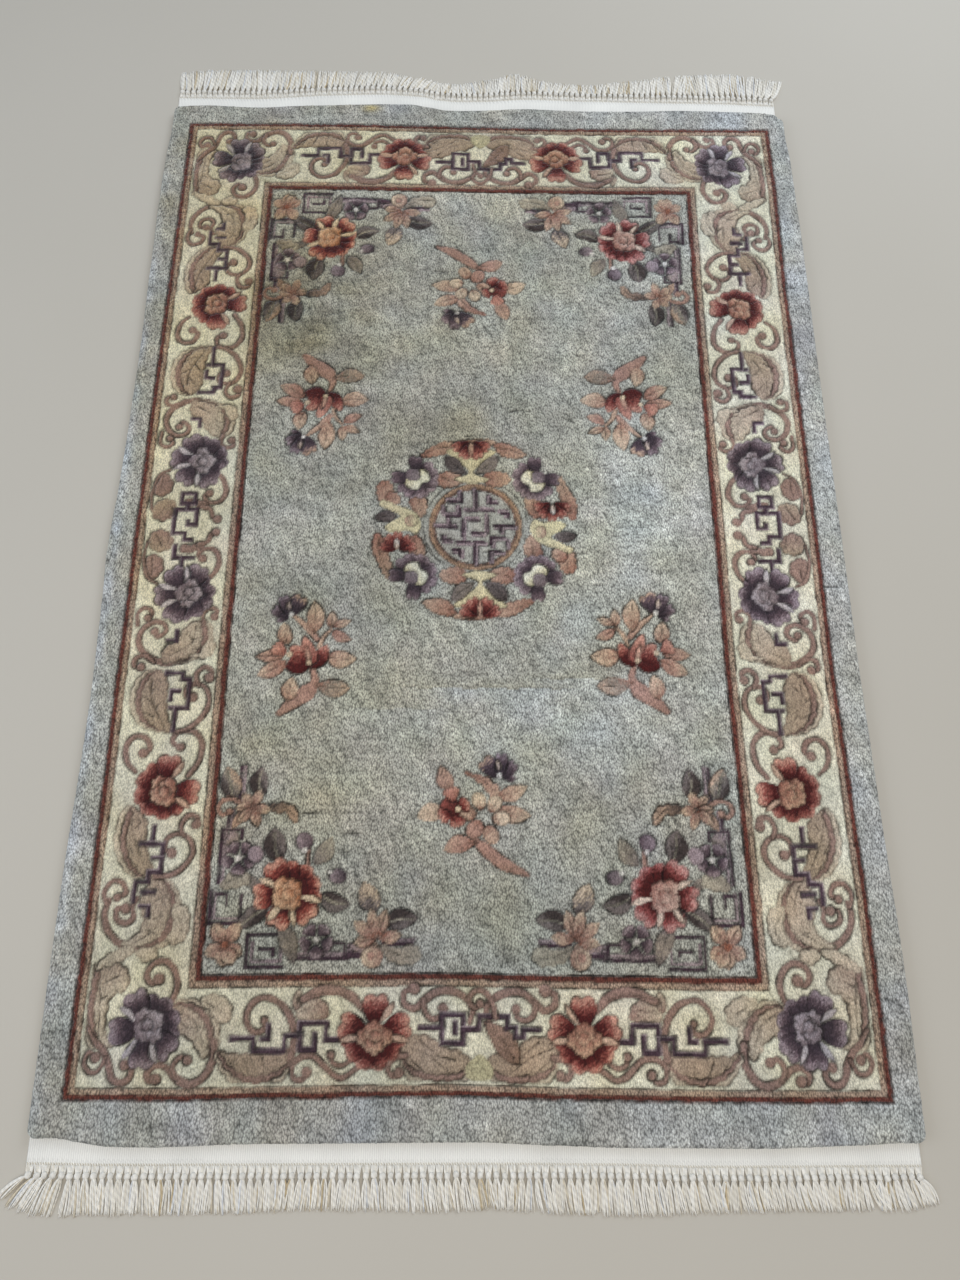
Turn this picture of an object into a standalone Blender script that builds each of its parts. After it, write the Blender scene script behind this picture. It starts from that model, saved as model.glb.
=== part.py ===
# Hand-knotted wool rug lying flat: a carved pile slab, an overcast cord down each side,
# a flat-woven cotton band across each end and a knotted cotton fringe beyond each band.
# Metres. The floor is z = 0, +Y runs along the rug's length and x = 0 is its middle.

import math
from collections import namedtuple

import bmesh
import bpy
import numpy as np
from mathutils import Vector
from mathutils.geometry import delaunay_2d_cdt

RUG_NAME = "peking_rug"
MM = 0.001

# Pile slab
PILE_TOP = 14.0 * MM
FOUNDATION_TOP = 6.4 * MM      # the wool overhangs the woven foundation above this height
OVERHANG = 5.0 * MM
CORNER_RADIUS = 11.0 * MM
PILE_WAVE = 0.5 * MM           # slow rise and fall of the wool's surface
SHOULDER = 4.0 * MM            # width of the rounding along the pile's edge
RIM_DROP = 0.4 * MM            # the pile is this much lower where its rounding starts
SIDE_SEGMENTS = 30

# Shears follow the outline of each figure and leave a groove in the pile
CARVE_DEPTH = 2.6 * MM
CARVE_HALF_WIDTH = 1.8 * MM
FIGURE_CROWN = 0.7 * MM        # a figure's middle is left this much higher

# Spacing of the points that lay out the pile's top
CARVE_STEP = 88 * MM           # along the straight carved lines
FILL_STEP = 78 * MM            # over the plain pile
FILL_CLEARANCE = 16 * MM       # from a plain point to anything carved
RING_POINTS = 48
POINTS_PER_LOBE = 4

# Gap that neighbouring pieces keep
GAP = 0.3 * MM

# Overcast side cords
CORD_RADIUS = 3.0 * MM
CORD_INSET = OVERHANG - GAP - CORD_RADIUS   # centre line, from the pile's edge inwards
CORD_END = 9.0 * MM                         # from the pile's end to the cord's end

# End bands and fringes
BAND_THICKNESS = 2.5 * MM
TASSELS = 110
GAP_SHARE = 0.36               # part of a tassel's pitch that is left open at its root
KNOT_STRIP = 11.0 * MM         # warps gathered into knots, between band and tassels
BAND_STATION = 6               # band points stand at every sixth line of the strip
BELLY_AT = 0.42                # where a tassel is fullest, as a share of its length
BELLY_WIDTH = 8.0 * MM
BELLY_HEIGHT = 5.2 * MM
TIP_WIDTH = 5.6 * MM
TIP_HEIGHT = 1.4 * MM
TASSEL_TAPER = 0.55            # top width of a tassel's section over its floor width
TASSEL_BEND = 1.4              # a leaning tassel bends away more towards its tip

EdgePoint = namedtuple("EdgePoint", "along out")
Lean = namedtuple("Lean", "along left right")
Rectangle = namedtuple("Rectangle", "half_width half_length")
Figure = namedtuple("Figure", "x y radius lobes swell turn")
TasselRow = namedtuple("TasselRow", "along reach lean")

# Edge of the pile, in mm: place along the edge, distance out from the rug's middle
NEAR_EDGE = (
    EdgePoint(-612, 903), EdgePoint(-585, 909), EdgePoint(-548, 915), EdgePoint(-500, 921),
    EdgePoint(-440, 921), EdgePoint(-320, 917), EdgePoint(0, 915), EdgePoint(100, 919),
    EdgePoint(200, 922), EdgePoint(400, 923), EdgePoint(560, 918), EdgePoint(612, 913),
)
FAR_EDGE = (
    EdgePoint(-606, 911), EdgePoint(-548, 914), EdgePoint(-450, 909), EdgePoint(-350, 916),
    EdgePoint(-200, 922), EdgePoint(-140, 922), EdgePoint(-100, 914), EdgePoint(-65, 906),
    EdgePoint(0, 908), EdgePoint(80, 914), EdgePoint(200, 909), EdgePoint(300, 910),
    EdgePoint(400, 914), EdgePoint(540, 911), EdgePoint(592, 907),
)
LEFT_EDGE = (
    EdgePoint(-903, 616), EdgePoint(-850, 619), EdgePoint(-700, 620), EdgePoint(-550, 620),
    EdgePoint(-400, 617), EdgePoint(-300, 616), EdgePoint(-150, 619), EdgePoint(-50, 623),
    EdgePoint(0, 622), EdgePoint(80, 618), EdgePoint(200, 616), EdgePoint(350, 615),
    EdgePoint(500, 617), EdgePoint(700, 619), EdgePoint(800, 617), EdgePoint(870, 612),
    EdgePoint(911, 606),
)
RIGHT_EDGE = (
    EdgePoint(-913, 612), EdgePoint(-850, 617), EdgePoint(-700, 619), EdgePoint(-450, 614),
    EdgePoint(-250, 611), EdgePoint(0, 611), EdgePoint(300, 610), EdgePoint(600, 611),
    EdgePoint(800, 609), EdgePoint(860, 604), EdgePoint(907, 592),
)

# Outer line of each end band, in mm
NEAR_BAND = (
    EdgePoint(-618, 944), EdgePoint(-500, 946), EdgePoint(0, 945), EdgePoint(200, 946),
    EdgePoint(300, 949), EdgePoint(610, 948),
)
FAR_BAND = (
    EdgePoint(-611, 945), EdgePoint(-450, 945), EdgePoint(-300, 957), EdgePoint(-200, 961),
    EdgePoint(-130, 957), EdgePoint(-70, 943), EdgePoint(0, 944), EdgePoint(90, 952),
    EdgePoint(200, 948), EdgePoint(500, 945), EdgePoint(594, 939),
)

# Tips of the tassels, in mm: place along the end, reach from the middle, sideways lean
NEAR_TASSELS = (
    TasselRow(-618, 984, -20), TasselRow(-585, 996, -9), TasselRow(-500, 1000, 3),
    TasselRow(-330, 998, 4), TasselRow(-230, 993, -2), TasselRow(-80, 996, 4),
    TasselRow(20, 992, 7), TasselRow(120, 996, 2), TasselRow(200, 1000, 8),
    TasselRow(330, 994, 5), TasselRow(450, 991, 6), TasselRow(570, 993, 7),
    TasselRow(610, 986, 16),
)
FAR_TASSELS = (
    TasselRow(-611, 1000, -3), TasselRow(-560, 1007, 3), TasselRow(-350, 1007, 6),
    TasselRow(-210, 1005, 4), TasselRow(-150, 992, 8), TasselRow(-90, 978, 4),
    TasselRow(-40, 975, -3), TasselRow(20, 990, 3), TasselRow(65, 1006, 2),
    TasselRow(140, 982, -4), TasselRow(210, 975, 3), TasselRow(300, 987, 6),
    TasselRow(400, 1003, 5), TasselRow(520, 1008, 6), TasselRow(594, 988, 20),
)

# How far the pattern's left and right sides lie off their nominal lines, in mm
PATTERN_LEAN = (
    Lean(-870, 0, 0), Lean(-600, 0, -1), Lean(-450, 0, -4), Lean(-250, -2, -8),
    Lean(0, -3, -7), Lean(200, -3, -8), Lean(500, -2, -8), Lean(700, -1, -5),
    Lean(870, 0, -6),
)

# Carved lines on both sides of the outer and of the inner guard stripes, in mm
GUARD_LINES = (
    Rectangle(577, 864), Rectangle(561, 849), Rectangle(421, 722), Rectangle(404, 705),
)

# Carved outlines of the larger figures, in mm and degrees
CORNER_BLOOMS = (Figure(485, 778, 46, 5, 0.12, 20),)
BORDER_BLOOMS = (
    Figure(148, 787, 48, 5, 0.12, 90), Figure(480, 430, 46, 5, 0.12, 0),
    Figure(480, 118, 46, 5, 0.12, 60), Figure(290, 592, 48, 5, 0.13, 40),
)
MEDALLION = (Figure(0, 0, 158, 8, 0.05, 0), Figure(0, 0, 73, 8, 0.0, 0))
SPRAYS = (
    Figure(-275, 240, 62, 5, 0.24, 10), Figure(265, 240, 62, 5, 0.24, 30),
    Figure(-275, -215, 62, 5, 0.24, -10), Figure(265, -215, 62, 5, 0.24, 25),
    Figure(-5, 490, 62, 5, 0.24, 50), Figure(-5, -470, 62, 5, 0.24, 15),
)

# Colours are linear RGB
PAINTS = {
    "wool_pile": ((0.33, 0.34, 0.30), 0.92),
    "wool_binding": ((0.38, 0.40, 0.41), 0.88),
    "cotton_band": ((0.78, 0.78, 0.72), 0.85),
    "cotton_fringe": ((0.70, 0.67, 0.58), 0.88),
}


def clear_scene():
    for thing in list(bpy.data.objects):
        bpy.data.objects.remove(thing, do_unlink=True)


def wool_or_cotton(name):
    colour, roughness = PAINTS[name]
    material = bpy.data.materials.new(name)
    material.use_nodes = True
    shader = material.node_tree.nodes["Principled BSDF"]
    shader.inputs["Base Color"].default_value = (*colour, 1.0)
    shader.inputs["Roughness"].default_value = roughness
    shader.inputs["Metallic"].default_value = 0.0
    return material


def add_piece(bm, name, material, collection):
    bmesh.ops.recalc_face_normals(bm, faces=bm.faces)
    mesh = bpy.data.meshes.new(name)
    bm.to_mesh(mesh)
    bm.free()
    mesh.materials.append(material)
    piece = bpy.data.objects.new(name, mesh)
    collection.objects.link(piece)
    return piece


def smooth_at(rows, place, column="out"):
    """Value in metres of a table's column at a place in metres, eased between its rows."""
    stops = [row.along * MM for row in rows]
    values = [getattr(row, column) * MM for row in rows]
    place = min(max(place, stops[0]), stops[-1])
    i = min(int(np.searchsorted(stops, place, side="right")) - 1, len(stops) - 2)
    share = (place - stops[i]) / (stops[i + 1] - stops[i])
    eased = share * share * (3.0 - 2.0 * share)
    blend = 0.5 * (share + eased)
    return values[i] + blend * (values[i + 1] - values[i])


def lie(x, y):
    """Where a nominal point of the pattern lies on the rug, which is a little uneven."""
    left = smooth_at(PATTERN_LEAN, y, "left")
    right = smooth_at(PATTERN_LEAN, y, "right")
    half = GUARD_LINES[0].half_width * MM
    share = min(max((x + half) / (2.0 * half), 0.0), 1.0)
    return x + left + share * (right - left), y


def pile_height(x, y):
    wave = math.sin(5.1 * x + 1.3) * math.cos(3.7 * y - 0.4) + 0.6 * math.sin(8.3 * y + 2.9 * x)
    return PILE_TOP + PILE_WAVE * wave / 1.6


def end_stations(rows):
    """Places across an end where the pile, the band and every sixth strip line agree."""
    count = len(strip_lines(0.0, 1.0)[::BAND_STATION])
    return np.linspace(rows[0].along * MM, rows[-1].along * MM, count)


def side_stations(rows):
    """Places along a side where the pile and its cord agree, between the corners."""
    return list(np.linspace(rows[0].along * MM, rows[-1].along * MM, SIDE_SEGMENTS + 1)[1:-1])


def strip_lines(start, end):
    """Lines across a fringe strip: the edges of its tassels' roots, with gaps between."""
    pitch = (end - start) / TASSELS
    half_gap = 0.5 * GAP_SHARE * pitch
    lines = [start]
    for tassel in range(TASSELS):
        left = start + tassel * pitch + half_gap
        lines += [left, left + pitch - 2.0 * half_gap]
    return lines + [end]


class OutlinePoint:
    """A point on the pile's edge, with the direction that is outwards there."""

    def __init__(self, x, y, out_x, out_y):
        self.x, self.y = x, y
        self.out = (out_x, out_y)

    def inset(self, distance):
        return self.x - self.out[0] * distance, self.y - self.out[1] * distance


def corner_arc(x_side, y_end, sign_x, sign_y):
    """Points of a rounded corner, from the side's edge towards the end's edge."""
    centre_x = x_side - sign_x * CORNER_RADIUS
    centre_y = y_end - sign_y * CORNER_RADIUS
    arc = []
    for step in range(5):
        turn = math.radians(90 * step / 4)
        out_x, out_y = sign_x * math.cos(turn), sign_y * math.sin(turn)
        arc.append(OutlinePoint(centre_x + CORNER_RADIUS * out_x,
                                centre_y + CORNER_RADIUS * out_y, out_x, out_y))
    return arc


def pile_outline():
    """The pile's edge, anticlockwise from the near left corner."""
    near = [OutlinePoint(x, -smooth_at(NEAR_EDGE, x), 0, -1) for x in end_stations(NEAR_EDGE)[1:-1]]
    far = [OutlinePoint(x, smooth_at(FAR_EDGE, x), 0, 1) for x in end_stations(FAR_EDGE)[1:-1]]
    sides = []
    for rows, sign in ((LEFT_EDGE, -1), (RIGHT_EDGE, 1)):
        places = side_stations(rows)
        sides.append([OutlinePoint(sign * smooth_at(rows, y), y, sign, 0) for y in places])
    left, right = sides
    near_left = corner_arc(-LEFT_EDGE[0].out * MM, -NEAR_EDGE[0].out * MM, -1, -1)
    near_right = corner_arc(RIGHT_EDGE[0].out * MM, -NEAR_EDGE[-1].out * MM, 1, -1)
    far_left = corner_arc(-LEFT_EDGE[-1].out * MM, FAR_EDGE[0].out * MM, -1, 1)
    far_right = corner_arc(RIGHT_EDGE[-1].out * MM, FAR_EDGE[-1].out * MM, 1, 1)
    return (near_left + near + near_right[::-1] + right + far_right
            + far[::-1] + far_left[::-1] + left[::-1])


def offset_loop(points, distance):
    """A closed loop moved sideways by a distance, to the right of its direction."""
    moved = []
    for i, point in enumerate(points):
        before, after = points[i - 1], points[(i + 1) % len(points)]
        along = (Vector(after) - Vector(before)).normalized()
        moved.append((point[0] + along.y * distance, point[1] - along.x * distance))
    return moved


def guard_loop(rectangle):
    """A guard line's closed loop, with its mitred corners."""
    w, l = rectangle.half_width * MM, rectangle.half_length * MM
    corners = ((-w, -l), (w, -l), (w, l), (-w, l))
    loop = []
    for i, (x0, y0) in enumerate(corners):
        x1, y1 = corners[(i + 1) % 4]
        steps = max(2, round(math.hypot(x1 - x0, y1 - y0) / CARVE_STEP))
        loop += [(x0 + (x1 - x0) * k / steps, y0 + (y1 - y0) * k / steps) for k in range(steps)]
    return loop


def figure_loop(figure, points):
    """A figure's outline: round petals that meet in sharp valleys."""
    loop = []
    for k in range(points):
        turn = 2.0 * math.pi * k / points
        petal = 2.0 * abs(math.cos(0.5 * figure.lobes * turn)) - 1.0
        reach = figure.radius * MM * (1.0 + figure.swell * petal)
        angle = turn + math.radians(figure.turn)
        x = figure.x * MM + reach * math.cos(angle)
        loop.append((x, figure.y * MM + reach * math.sin(angle)))
    return loop


def mirrored(figures):
    """Each figure in all four quarters of the rug."""
    return [figure._replace(x=sx * figure.x, y=sy * figure.y)
            for figure in figures for sx in (-1, 1) for sy in (-1, 1)]


def carved_lines():
    """Every carved outline as a list of loops: shoulder, bottom, shoulder."""
    shifts = (-CARVE_HALF_WIDTH, 0.0, CARVE_HALF_WIDTH)
    lines = []
    for rectangle in GUARD_LINES:
        loops = []
        for shift in shifts:
            moved = Rectangle(rectangle.half_width + shift / MM, rectangle.half_length + shift / MM)
            loops.append(guard_loop(moved))
        lines.append(loops)
    for figure in MEDALLION:
        loop = figure_loop(figure, RING_POINTS)
        lines.append([offset_loop(loop, shift) for shift in shifts])
    for figure in mirrored(CORNER_BLOOMS + BORDER_BLOOMS) + list(SPRAYS):
        loop = figure_loop(figure, figure.lobes * POINTS_PER_LOBE)
        lines.append([offset_loop(loop, shift) for shift in shifts])
    return [[[lie(x, y) for x, y in loop] for loop in loops] for loops in lines]


def figure_crowns():
    """Middle of each small figure, which is left a little proud."""
    figures = mirrored(CORNER_BLOOMS + BORDER_BLOOMS) + list(SPRAYS)
    return [lie(figure.x * MM, figure.y * MM) for figure in figures]


def clear_of_segments(point, starts, ends, distance):
    runs = ends - starts
    share = ((point - starts) * runs).sum(axis=1) / (runs * runs).sum(axis=1)
    nearest = starts + runs * share.clip(0.0, 1.0)[:, None]
    return bool((np.linalg.norm(point - nearest, axis=1) > distance).all())


def fill_points(lines, outline, crowns):
    """An even grid of points on the plain pile, clear of everything carved."""
    loops = [loop for loops in lines for loop in loops] + [outline]
    starts = np.array([point for loop in loops for point in loop])
    ends = np.array([point for loop in loops for point in loop[1:] + loop[:1]])
    crowns = np.array(crowns)
    half = np.abs(np.array(outline)).max(axis=0)
    inside = half - 2.0 * FILL_CLEARANCE
    points = []
    for x in np.arange(-half[0], half[0], FILL_STEP) + 0.5 * FILL_STEP:
        for y in np.arange(-half[1], half[1], FILL_STEP) + 0.5 * FILL_STEP:
            point = np.array((x, y))
            free = (np.linalg.norm(crowns - point, axis=1) > FILL_CLEARANCE).all()
            clear = clear_of_segments(point, starts, ends, FILL_CLEARANCE)
            if (abs(point) < inside).all() and free and clear:
                points.append(tuple(point))
    return points


def build_pile(material, collection):
    """The wool slab: a carved top, rounded shoulders over a narrower foundation, a flat base."""
    outline = pile_outline()
    rim = [point.inset(SHOULDER) for point in outline]
    lines = carved_lines()
    crowns = figure_crowns()

    flat, heights, edges = list(rim), [pile_height(*point) - RIM_DROP for point in rim], []
    for loops in lines:
        for k, loop in enumerate(loops):
            first = len(flat)
            flat += loop
            depth = CARVE_DEPTH if k == 1 else 0.0
            heights += [pile_height(*point) - depth for point in loop]
            edges += [(first + i, first + (i + 1) % len(loop)) for i in range(len(loop))]
    flat += crowns
    heights += [pile_height(*point) + FIGURE_CROWN for point in crowns]
    fill = fill_points(lines, rim, crowns)
    flat += fill
    heights += [pile_height(*point) for point in fill]

    rim_face = list(range(len(rim)))
    made, _, faces, origins, _, _ = delaunay_2d_cdt(
        [Vector(point) for point in flat], edges, [rim_face], 1, 1e-7)
    bm = bmesh.new()
    top = [bm.verts.new((point.x, point.y, heights[origins[i][0]])) for i, point in enumerate(made)]
    for face in faces:
        bm.faces.new([top[i] for i in face])
    rim_verts = [None] * len(rim)
    for i, sources in enumerate(origins):
        for source in sources:
            if source < len(rim):
                rim_verts[source] = top[i]

    # rows below the rim: inset from the pile's edge, height above the floor
    rows = ((1.0 * MM, PILE_TOP - 2.2 * MM), (0.0, PILE_TOP - 5.2 * MM),
            (0.8 * MM, FOUNDATION_TOP), (OVERHANG, FOUNDATION_TOP), (OVERHANG, 0.0))
    upper = rim_verts
    for inset, height in rows:
        lower = [bm.verts.new((*point.inset(inset), height)) for point in outline]
        for i in range(len(outline)):
            j = (i + 1) % len(outline)
            bm.faces.new((upper[i], lower[i], lower[j], upper[j]))
        upper = lower
    bm.faces.new(upper)
    return add_piece(bm, "pile_rug", material, collection)


def build_side_cord(name, rows, sign, near_out, far_out, material, collection):
    """The overcast cord that binds a long side, under the overhanging wool."""
    stations = side_stations(rows)
    edge = [smooth_at(rows, y) for y in stations]
    first, last = CORD_END - near_out * MM, far_out * MM - CORD_END
    inner = [y for y in stations if first + CORD_END < y < last - CORD_END]
    places = [first] + inner + [last]

    curve = bpy.data.curves.new(name, "CURVE")
    curve.dimensions = "3D"
    curve.bevel_depth = CORD_RADIUS
    curve.bevel_resolution = 2
    curve.use_fill_caps = True
    spline = curve.splines.new("POLY")
    spline.points.add(len(places) - 1)
    for point, y in zip(spline.points, places):
        x = sign * (float(np.interp(y, stations, edge)) - CORD_INSET)
        point.co = (x, y, CORD_RADIUS, 1.0)
    cord = bpy.data.objects.new(name, curve)
    curve.materials.append(material)
    collection.objects.link(cord)
    return cord


def build_band(name, edge_rows, band_rows, sign, material, collection):
    """A flat-woven band, from the foundation under the pile's overhang to its outer line."""
    inner_x = end_stations(edge_rows)
    lines = strip_lines(band_rows[0].along * MM, band_rows[-1].along * MM)
    outer_x = lines[::BAND_STATION]
    bm = bmesh.new()
    bmesh.ops.create_grid(bm, x_segments=len(inner_x) - 1, y_segments=1, size=1.0)
    bm.verts.ensure_lookup_table()
    count = len(inner_x)
    for i, vert in enumerate(bm.verts):
        k, outer = i % count, i >= count
        x = outer_x[k] if outer else inner_x[k]
        if outer:
            y = smooth_at(band_rows, x)
        else:
            y = smooth_at(edge_rows, x) - OVERHANG + GAP
        vert.co = (x, sign * y, 0.0)
    band = add_piece(bm, name, material, collection)
    if band.data.polygons[0].normal.z < 0:
        band.data.flip_normals()
    solid = band.modifiers.new("thickness", "SOLIDIFY")
    solid.thickness = BAND_THICKNESS
    solid.offset = 1.0
    return band


def tassel_section(x, y, width, height):
    """Corners of a tassel's section lying on the floor: floor left, floor right, top right, top left."""
    half, top = 0.5 * width, 0.5 * width * TASSEL_TAPER
    return (x - half, y, 0.0), (x + half, y, 0.0), (x + top, y, height), (x - top, y, height)


def place_face(face, section):
    """Move a quad's corners onto a section, left to left and floor to floor."""
    middle_x = sum(vert.co.x for vert in face.verts) / 4
    middle_z = sum(vert.co.z for vert in face.verts) / 4
    for vert in face.verts:
        left, low = vert.co.x < middle_x, vert.co.z < middle_z
        corner = (0 if left else 1) if low else (3 if left else 2)
        vert.co = section[corner]


def build_fringe(name, band_rows, tassel_rows, sign, material, collection):
    """Knotted warps as a narrow strip, with a tassel drawn out of each knot."""
    lines = strip_lines(band_rows[0].along * MM, band_rows[-1].along * MM)
    stations = lines[::BAND_STATION]
    band_y = [smooth_at(band_rows, x) for x in stations]
    bm = bmesh.new()
    bmesh.ops.create_grid(bm, x_segments=len(lines) - 1, y_segments=1, size=1.0)
    bm.verts.ensure_lookup_table()
    count = len(lines)
    for i, vert in enumerate(bm.verts):
        x = lines[i % count]
        y = float(np.interp(x, stations, band_y)) + (KNOT_STRIP if i >= count else GAP)
        vert.co = (x, sign * y, 0.0)
    lifted = bmesh.ops.extrude_face_region(bm, geom=list(bm.faces), use_keep_orig=True)
    raised = [item for item in lifted["geom"] if isinstance(item, bmesh.types.BMVert)]
    bmesh.ops.translate(bm, verts=raised, vec=(0.0, 0.0, BAND_THICKNESS))
    bmesh.ops.recalc_face_normals(bm, faces=bm.faces)

    def along(face):
        return face.calc_center_median().x

    outward = [face for face in bm.faces if face.normal.y * sign > 0.7]
    roots = sorted(outward, key=along)[1::2]
    rng = np.random.default_rng(11 if sign < 0 else 12)
    for root in roots:
        x = along(root)
        base = abs(root.calc_center_median().y)
        reach = smooth_at(tassel_rows, x, "reach") + rng.uniform(-2.0, 1.5) * MM
        lean = smooth_at(tassel_rows, x, "lean") + rng.uniform(-0.4, 0.4) * MM
        rings = (
            (BELLY_AT, BELLY_WIDTH * rng.uniform(0.94, 1.0), BELLY_HEIGHT * rng.uniform(0.85, 1.05)),
            (1.0, TIP_WIDTH * rng.uniform(0.85, 1.05), TIP_HEIGHT),
        )
        face = root
        for share, width, height in rings:
            grown = bmesh.ops.extrude_discrete_faces(bm, faces=[face])
            face = grown["faces"][0]
            y = base + share * (reach - base)
            swept = x + lean * share ** TASSEL_BEND
            place_face(face, tassel_section(swept, sign * y, width, height))
    return add_piece(bm, name, material, collection)


def build_rug():
    clear_scene()
    collection = bpy.data.collections.new(RUG_NAME)
    bpy.context.scene.collection.children.link(collection)
    paints = {name: wool_or_cotton(name) for name in PAINTS}

    build_pile(paints["wool_pile"], collection)
    build_side_cord("side_cord_left", LEFT_EDGE, -1, NEAR_EDGE[0].out, FAR_EDGE[0].out,
                    paints["wool_binding"], collection)
    build_side_cord("side_cord_right", RIGHT_EDGE, 1, NEAR_EDGE[-1].out, FAR_EDGE[-1].out,
                    paints["wool_binding"], collection)
    for end, edge_rows, band_rows, tassel_rows, sign in (
            ("near", NEAR_EDGE, NEAR_BAND, NEAR_TASSELS, -1),
            ("far", FAR_EDGE, FAR_BAND, FAR_TASSELS, 1)):
        build_band("end_band_" + end, edge_rows, band_rows, sign, paints["cotton_band"], collection)
        build_fringe("fringe_" + end, band_rows, tassel_rows, sign,
                     paints["cotton_fringe"], collection)


build_rug()
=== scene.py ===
import math

import bpy
import numpy as np
from mathutils import Matrix, Vector


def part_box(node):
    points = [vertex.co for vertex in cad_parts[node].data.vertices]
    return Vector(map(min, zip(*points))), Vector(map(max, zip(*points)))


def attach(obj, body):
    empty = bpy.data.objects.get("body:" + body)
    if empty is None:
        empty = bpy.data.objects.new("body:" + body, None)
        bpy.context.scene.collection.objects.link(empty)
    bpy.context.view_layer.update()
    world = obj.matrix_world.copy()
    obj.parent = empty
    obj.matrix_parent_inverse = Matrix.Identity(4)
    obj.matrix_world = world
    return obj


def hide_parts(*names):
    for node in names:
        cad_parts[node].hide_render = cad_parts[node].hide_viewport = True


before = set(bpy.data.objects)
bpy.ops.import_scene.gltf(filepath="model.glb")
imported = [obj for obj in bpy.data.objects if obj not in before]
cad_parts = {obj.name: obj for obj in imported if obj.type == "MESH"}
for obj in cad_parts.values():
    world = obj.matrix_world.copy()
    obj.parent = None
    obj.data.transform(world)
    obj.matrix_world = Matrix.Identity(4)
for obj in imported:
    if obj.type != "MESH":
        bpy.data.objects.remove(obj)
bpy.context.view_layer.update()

# A hand-knotted wool rug lies flat on a pale floor. The frame gives its edges; this script ties the
# knots on them, dyes and carves the pattern, then adds the cords, the cotton bands and the fringe.
mm = 0.001
scene = bpy.context.scene


def linearColour(hexText):
    # sRGB hex to the linear values that Blender works in
    parts = [int(hexText[k:k + 2], 16) / 255 for k in (1, 3, 5)]
    return tuple(p / 12.92 if p <= 0.04045 else ((p + 0.055) / 1.055) ** 2.4 for p in parts)


# The camera stands over the near end and looks down the rug, as in the photograph
view = {
    "place": (-0.0134, -0.5603, 1.2575),
    "tilt": 16.23,       # degrees away from straight down
    "swing": -1.97,
    "roll": 2.20,
    "lens": 22.53,       # mm, on a 36 mm long side
}


def setCamera():
    camera = bpy.data.objects.new("camera", bpy.data.cameras.new("camera"))
    scene.collection.objects.link(camera)
    camera.data.sensor_width = 36.0
    camera.data.lens = view["lens"]
    camera.data.clip_start = 0.05
    turns = (("Z", view["swing"]), ("X", view["tilt"]), ("Z", view["roll"]))
    turned = Matrix.Identity(4)
    for axis, degrees in turns:
        turned = turned @ Matrix.Rotation(math.radians(degrees), 4, axis)
    camera.matrix_world = Matrix.Translation(view["place"]) @ turned
    scene.camera = camera


# Plain pale room: one broad window light past the far end, one from the left, a pale sky for fill
studio = {
    "skyColour": "#DCE2E8",
    "skyStrength": 0.42,
    "lights": (
        # name, place, aimed at, width, height, watts, colour
        ("window_far", (1.9, 2.5, 2.2), (0.2, 0.1, 0.0), 2.6, 1.6, 68.0, "#E8F0FA"),
        ("window_left", (-3.0, -0.4, 1.7), (-0.2, 0.0, 0.0), 2.4, 1.6, 38.0, "#E2ECFA"),
        ("ceiling", (0.2, -1.3, 3.0), (0.0, -0.4, 0.0), 2.4, 2.4, 38.0, "#FFF3E4"),
    ),
    "floorColour": "#C6C1B7",
    "floorMottle": "#C0BBB0",
    "floorHalf": 9.0,
}


def setStudio():
    world = bpy.data.worlds.new("pale_room")
    scene.world = world
    world.use_nodes = True
    sky = world.node_tree.nodes["Background"]
    sky.inputs["Color"].default_value = (*linearColour(studio["skyColour"]), 1.0)
    sky.inputs["Strength"].default_value = studio["skyStrength"]
    for name, place, aim, width, height, watts, colour in studio["lights"]:
        lamp = bpy.data.lights.new(name, "AREA")
        lamp.shape = "RECTANGLE"
        lamp.size = width
        lamp.size_y = height
        lamp.energy = watts
        lamp.color = linearColour(colour)
        holder = bpy.data.objects.new(name, lamp)
        holder.location = place
        towards = Vector(aim) - Vector(place)
        holder.rotation_euler = towards.to_track_quat("-Z", "Y").to_euler()
        scene.collection.objects.link(holder)
    scene.view_settings.view_transform = "Standard"   # the dyes come out as they are written


# Materials
bandPitch = 0.314     # a wave texture's bands lie this far apart at a scale of 1, in metres


def addNode(tree, kind, settings=None, links=None):
    # one node, its settings, and what feeds its inputs: {input: value or output socket}
    node = tree.nodes.new(kind)
    for key, value in (settings or {}).items():
        setattr(node, key, value)
    for key, value in (links or {}).items():
        socket = node.inputs[key]
        if isinstance(value, bpy.types.NodeSocket):
            tree.links.new(value, socket)
        else:
            socket.default_value = value
    return node


def newMaterial(name, roughness):
    material = bpy.data.materials.new(name)
    material.use_nodes = True
    tree = material.node_tree
    shader = tree.nodes["Principled BSDF"]
    shader.inputs["Roughness"].default_value = roughness
    return material, tree, shader


def spreadValue(tree, value, low, high, fromLow=0.3, fromHigh=0.7):
    # a texture's value, most of which lies from 0.3 to 0.7, spread from low to high
    return addNode(tree, "ShaderNodeMapRange", None,
                   {"Value": value, "From Min": fromLow, "From Max": fromHigh,
                    "To Min": low, "To Max": high}).outputs["Result"]


def multiply(tree, first, second):
    return addNode(tree, "ShaderNodeMath", {"operation": "MULTIPLY"}, {0: first, 1: second}).outputs["Value"]


def multiplyAdd(tree, value, factor, extra):
    return addNode(tree, "ShaderNodeMath", {"operation": "MULTIPLY_ADD"},
                   {0: value, 1: factor, 2: extra}).outputs["Value"]


def shadeDye(tree, shader, dye, shade):
    # the knots' own dye, lighter or darker by the shade, in places painted light and shade
    colour = addNode(tree, "ShaderNodeVectorMath", {"operation": "SCALE"},
                     {0: dye.outputs["Color"], "Scale": shade})
    tree.links.new(colour.outputs["Vector"], shader.inputs["Base Color"])


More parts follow.
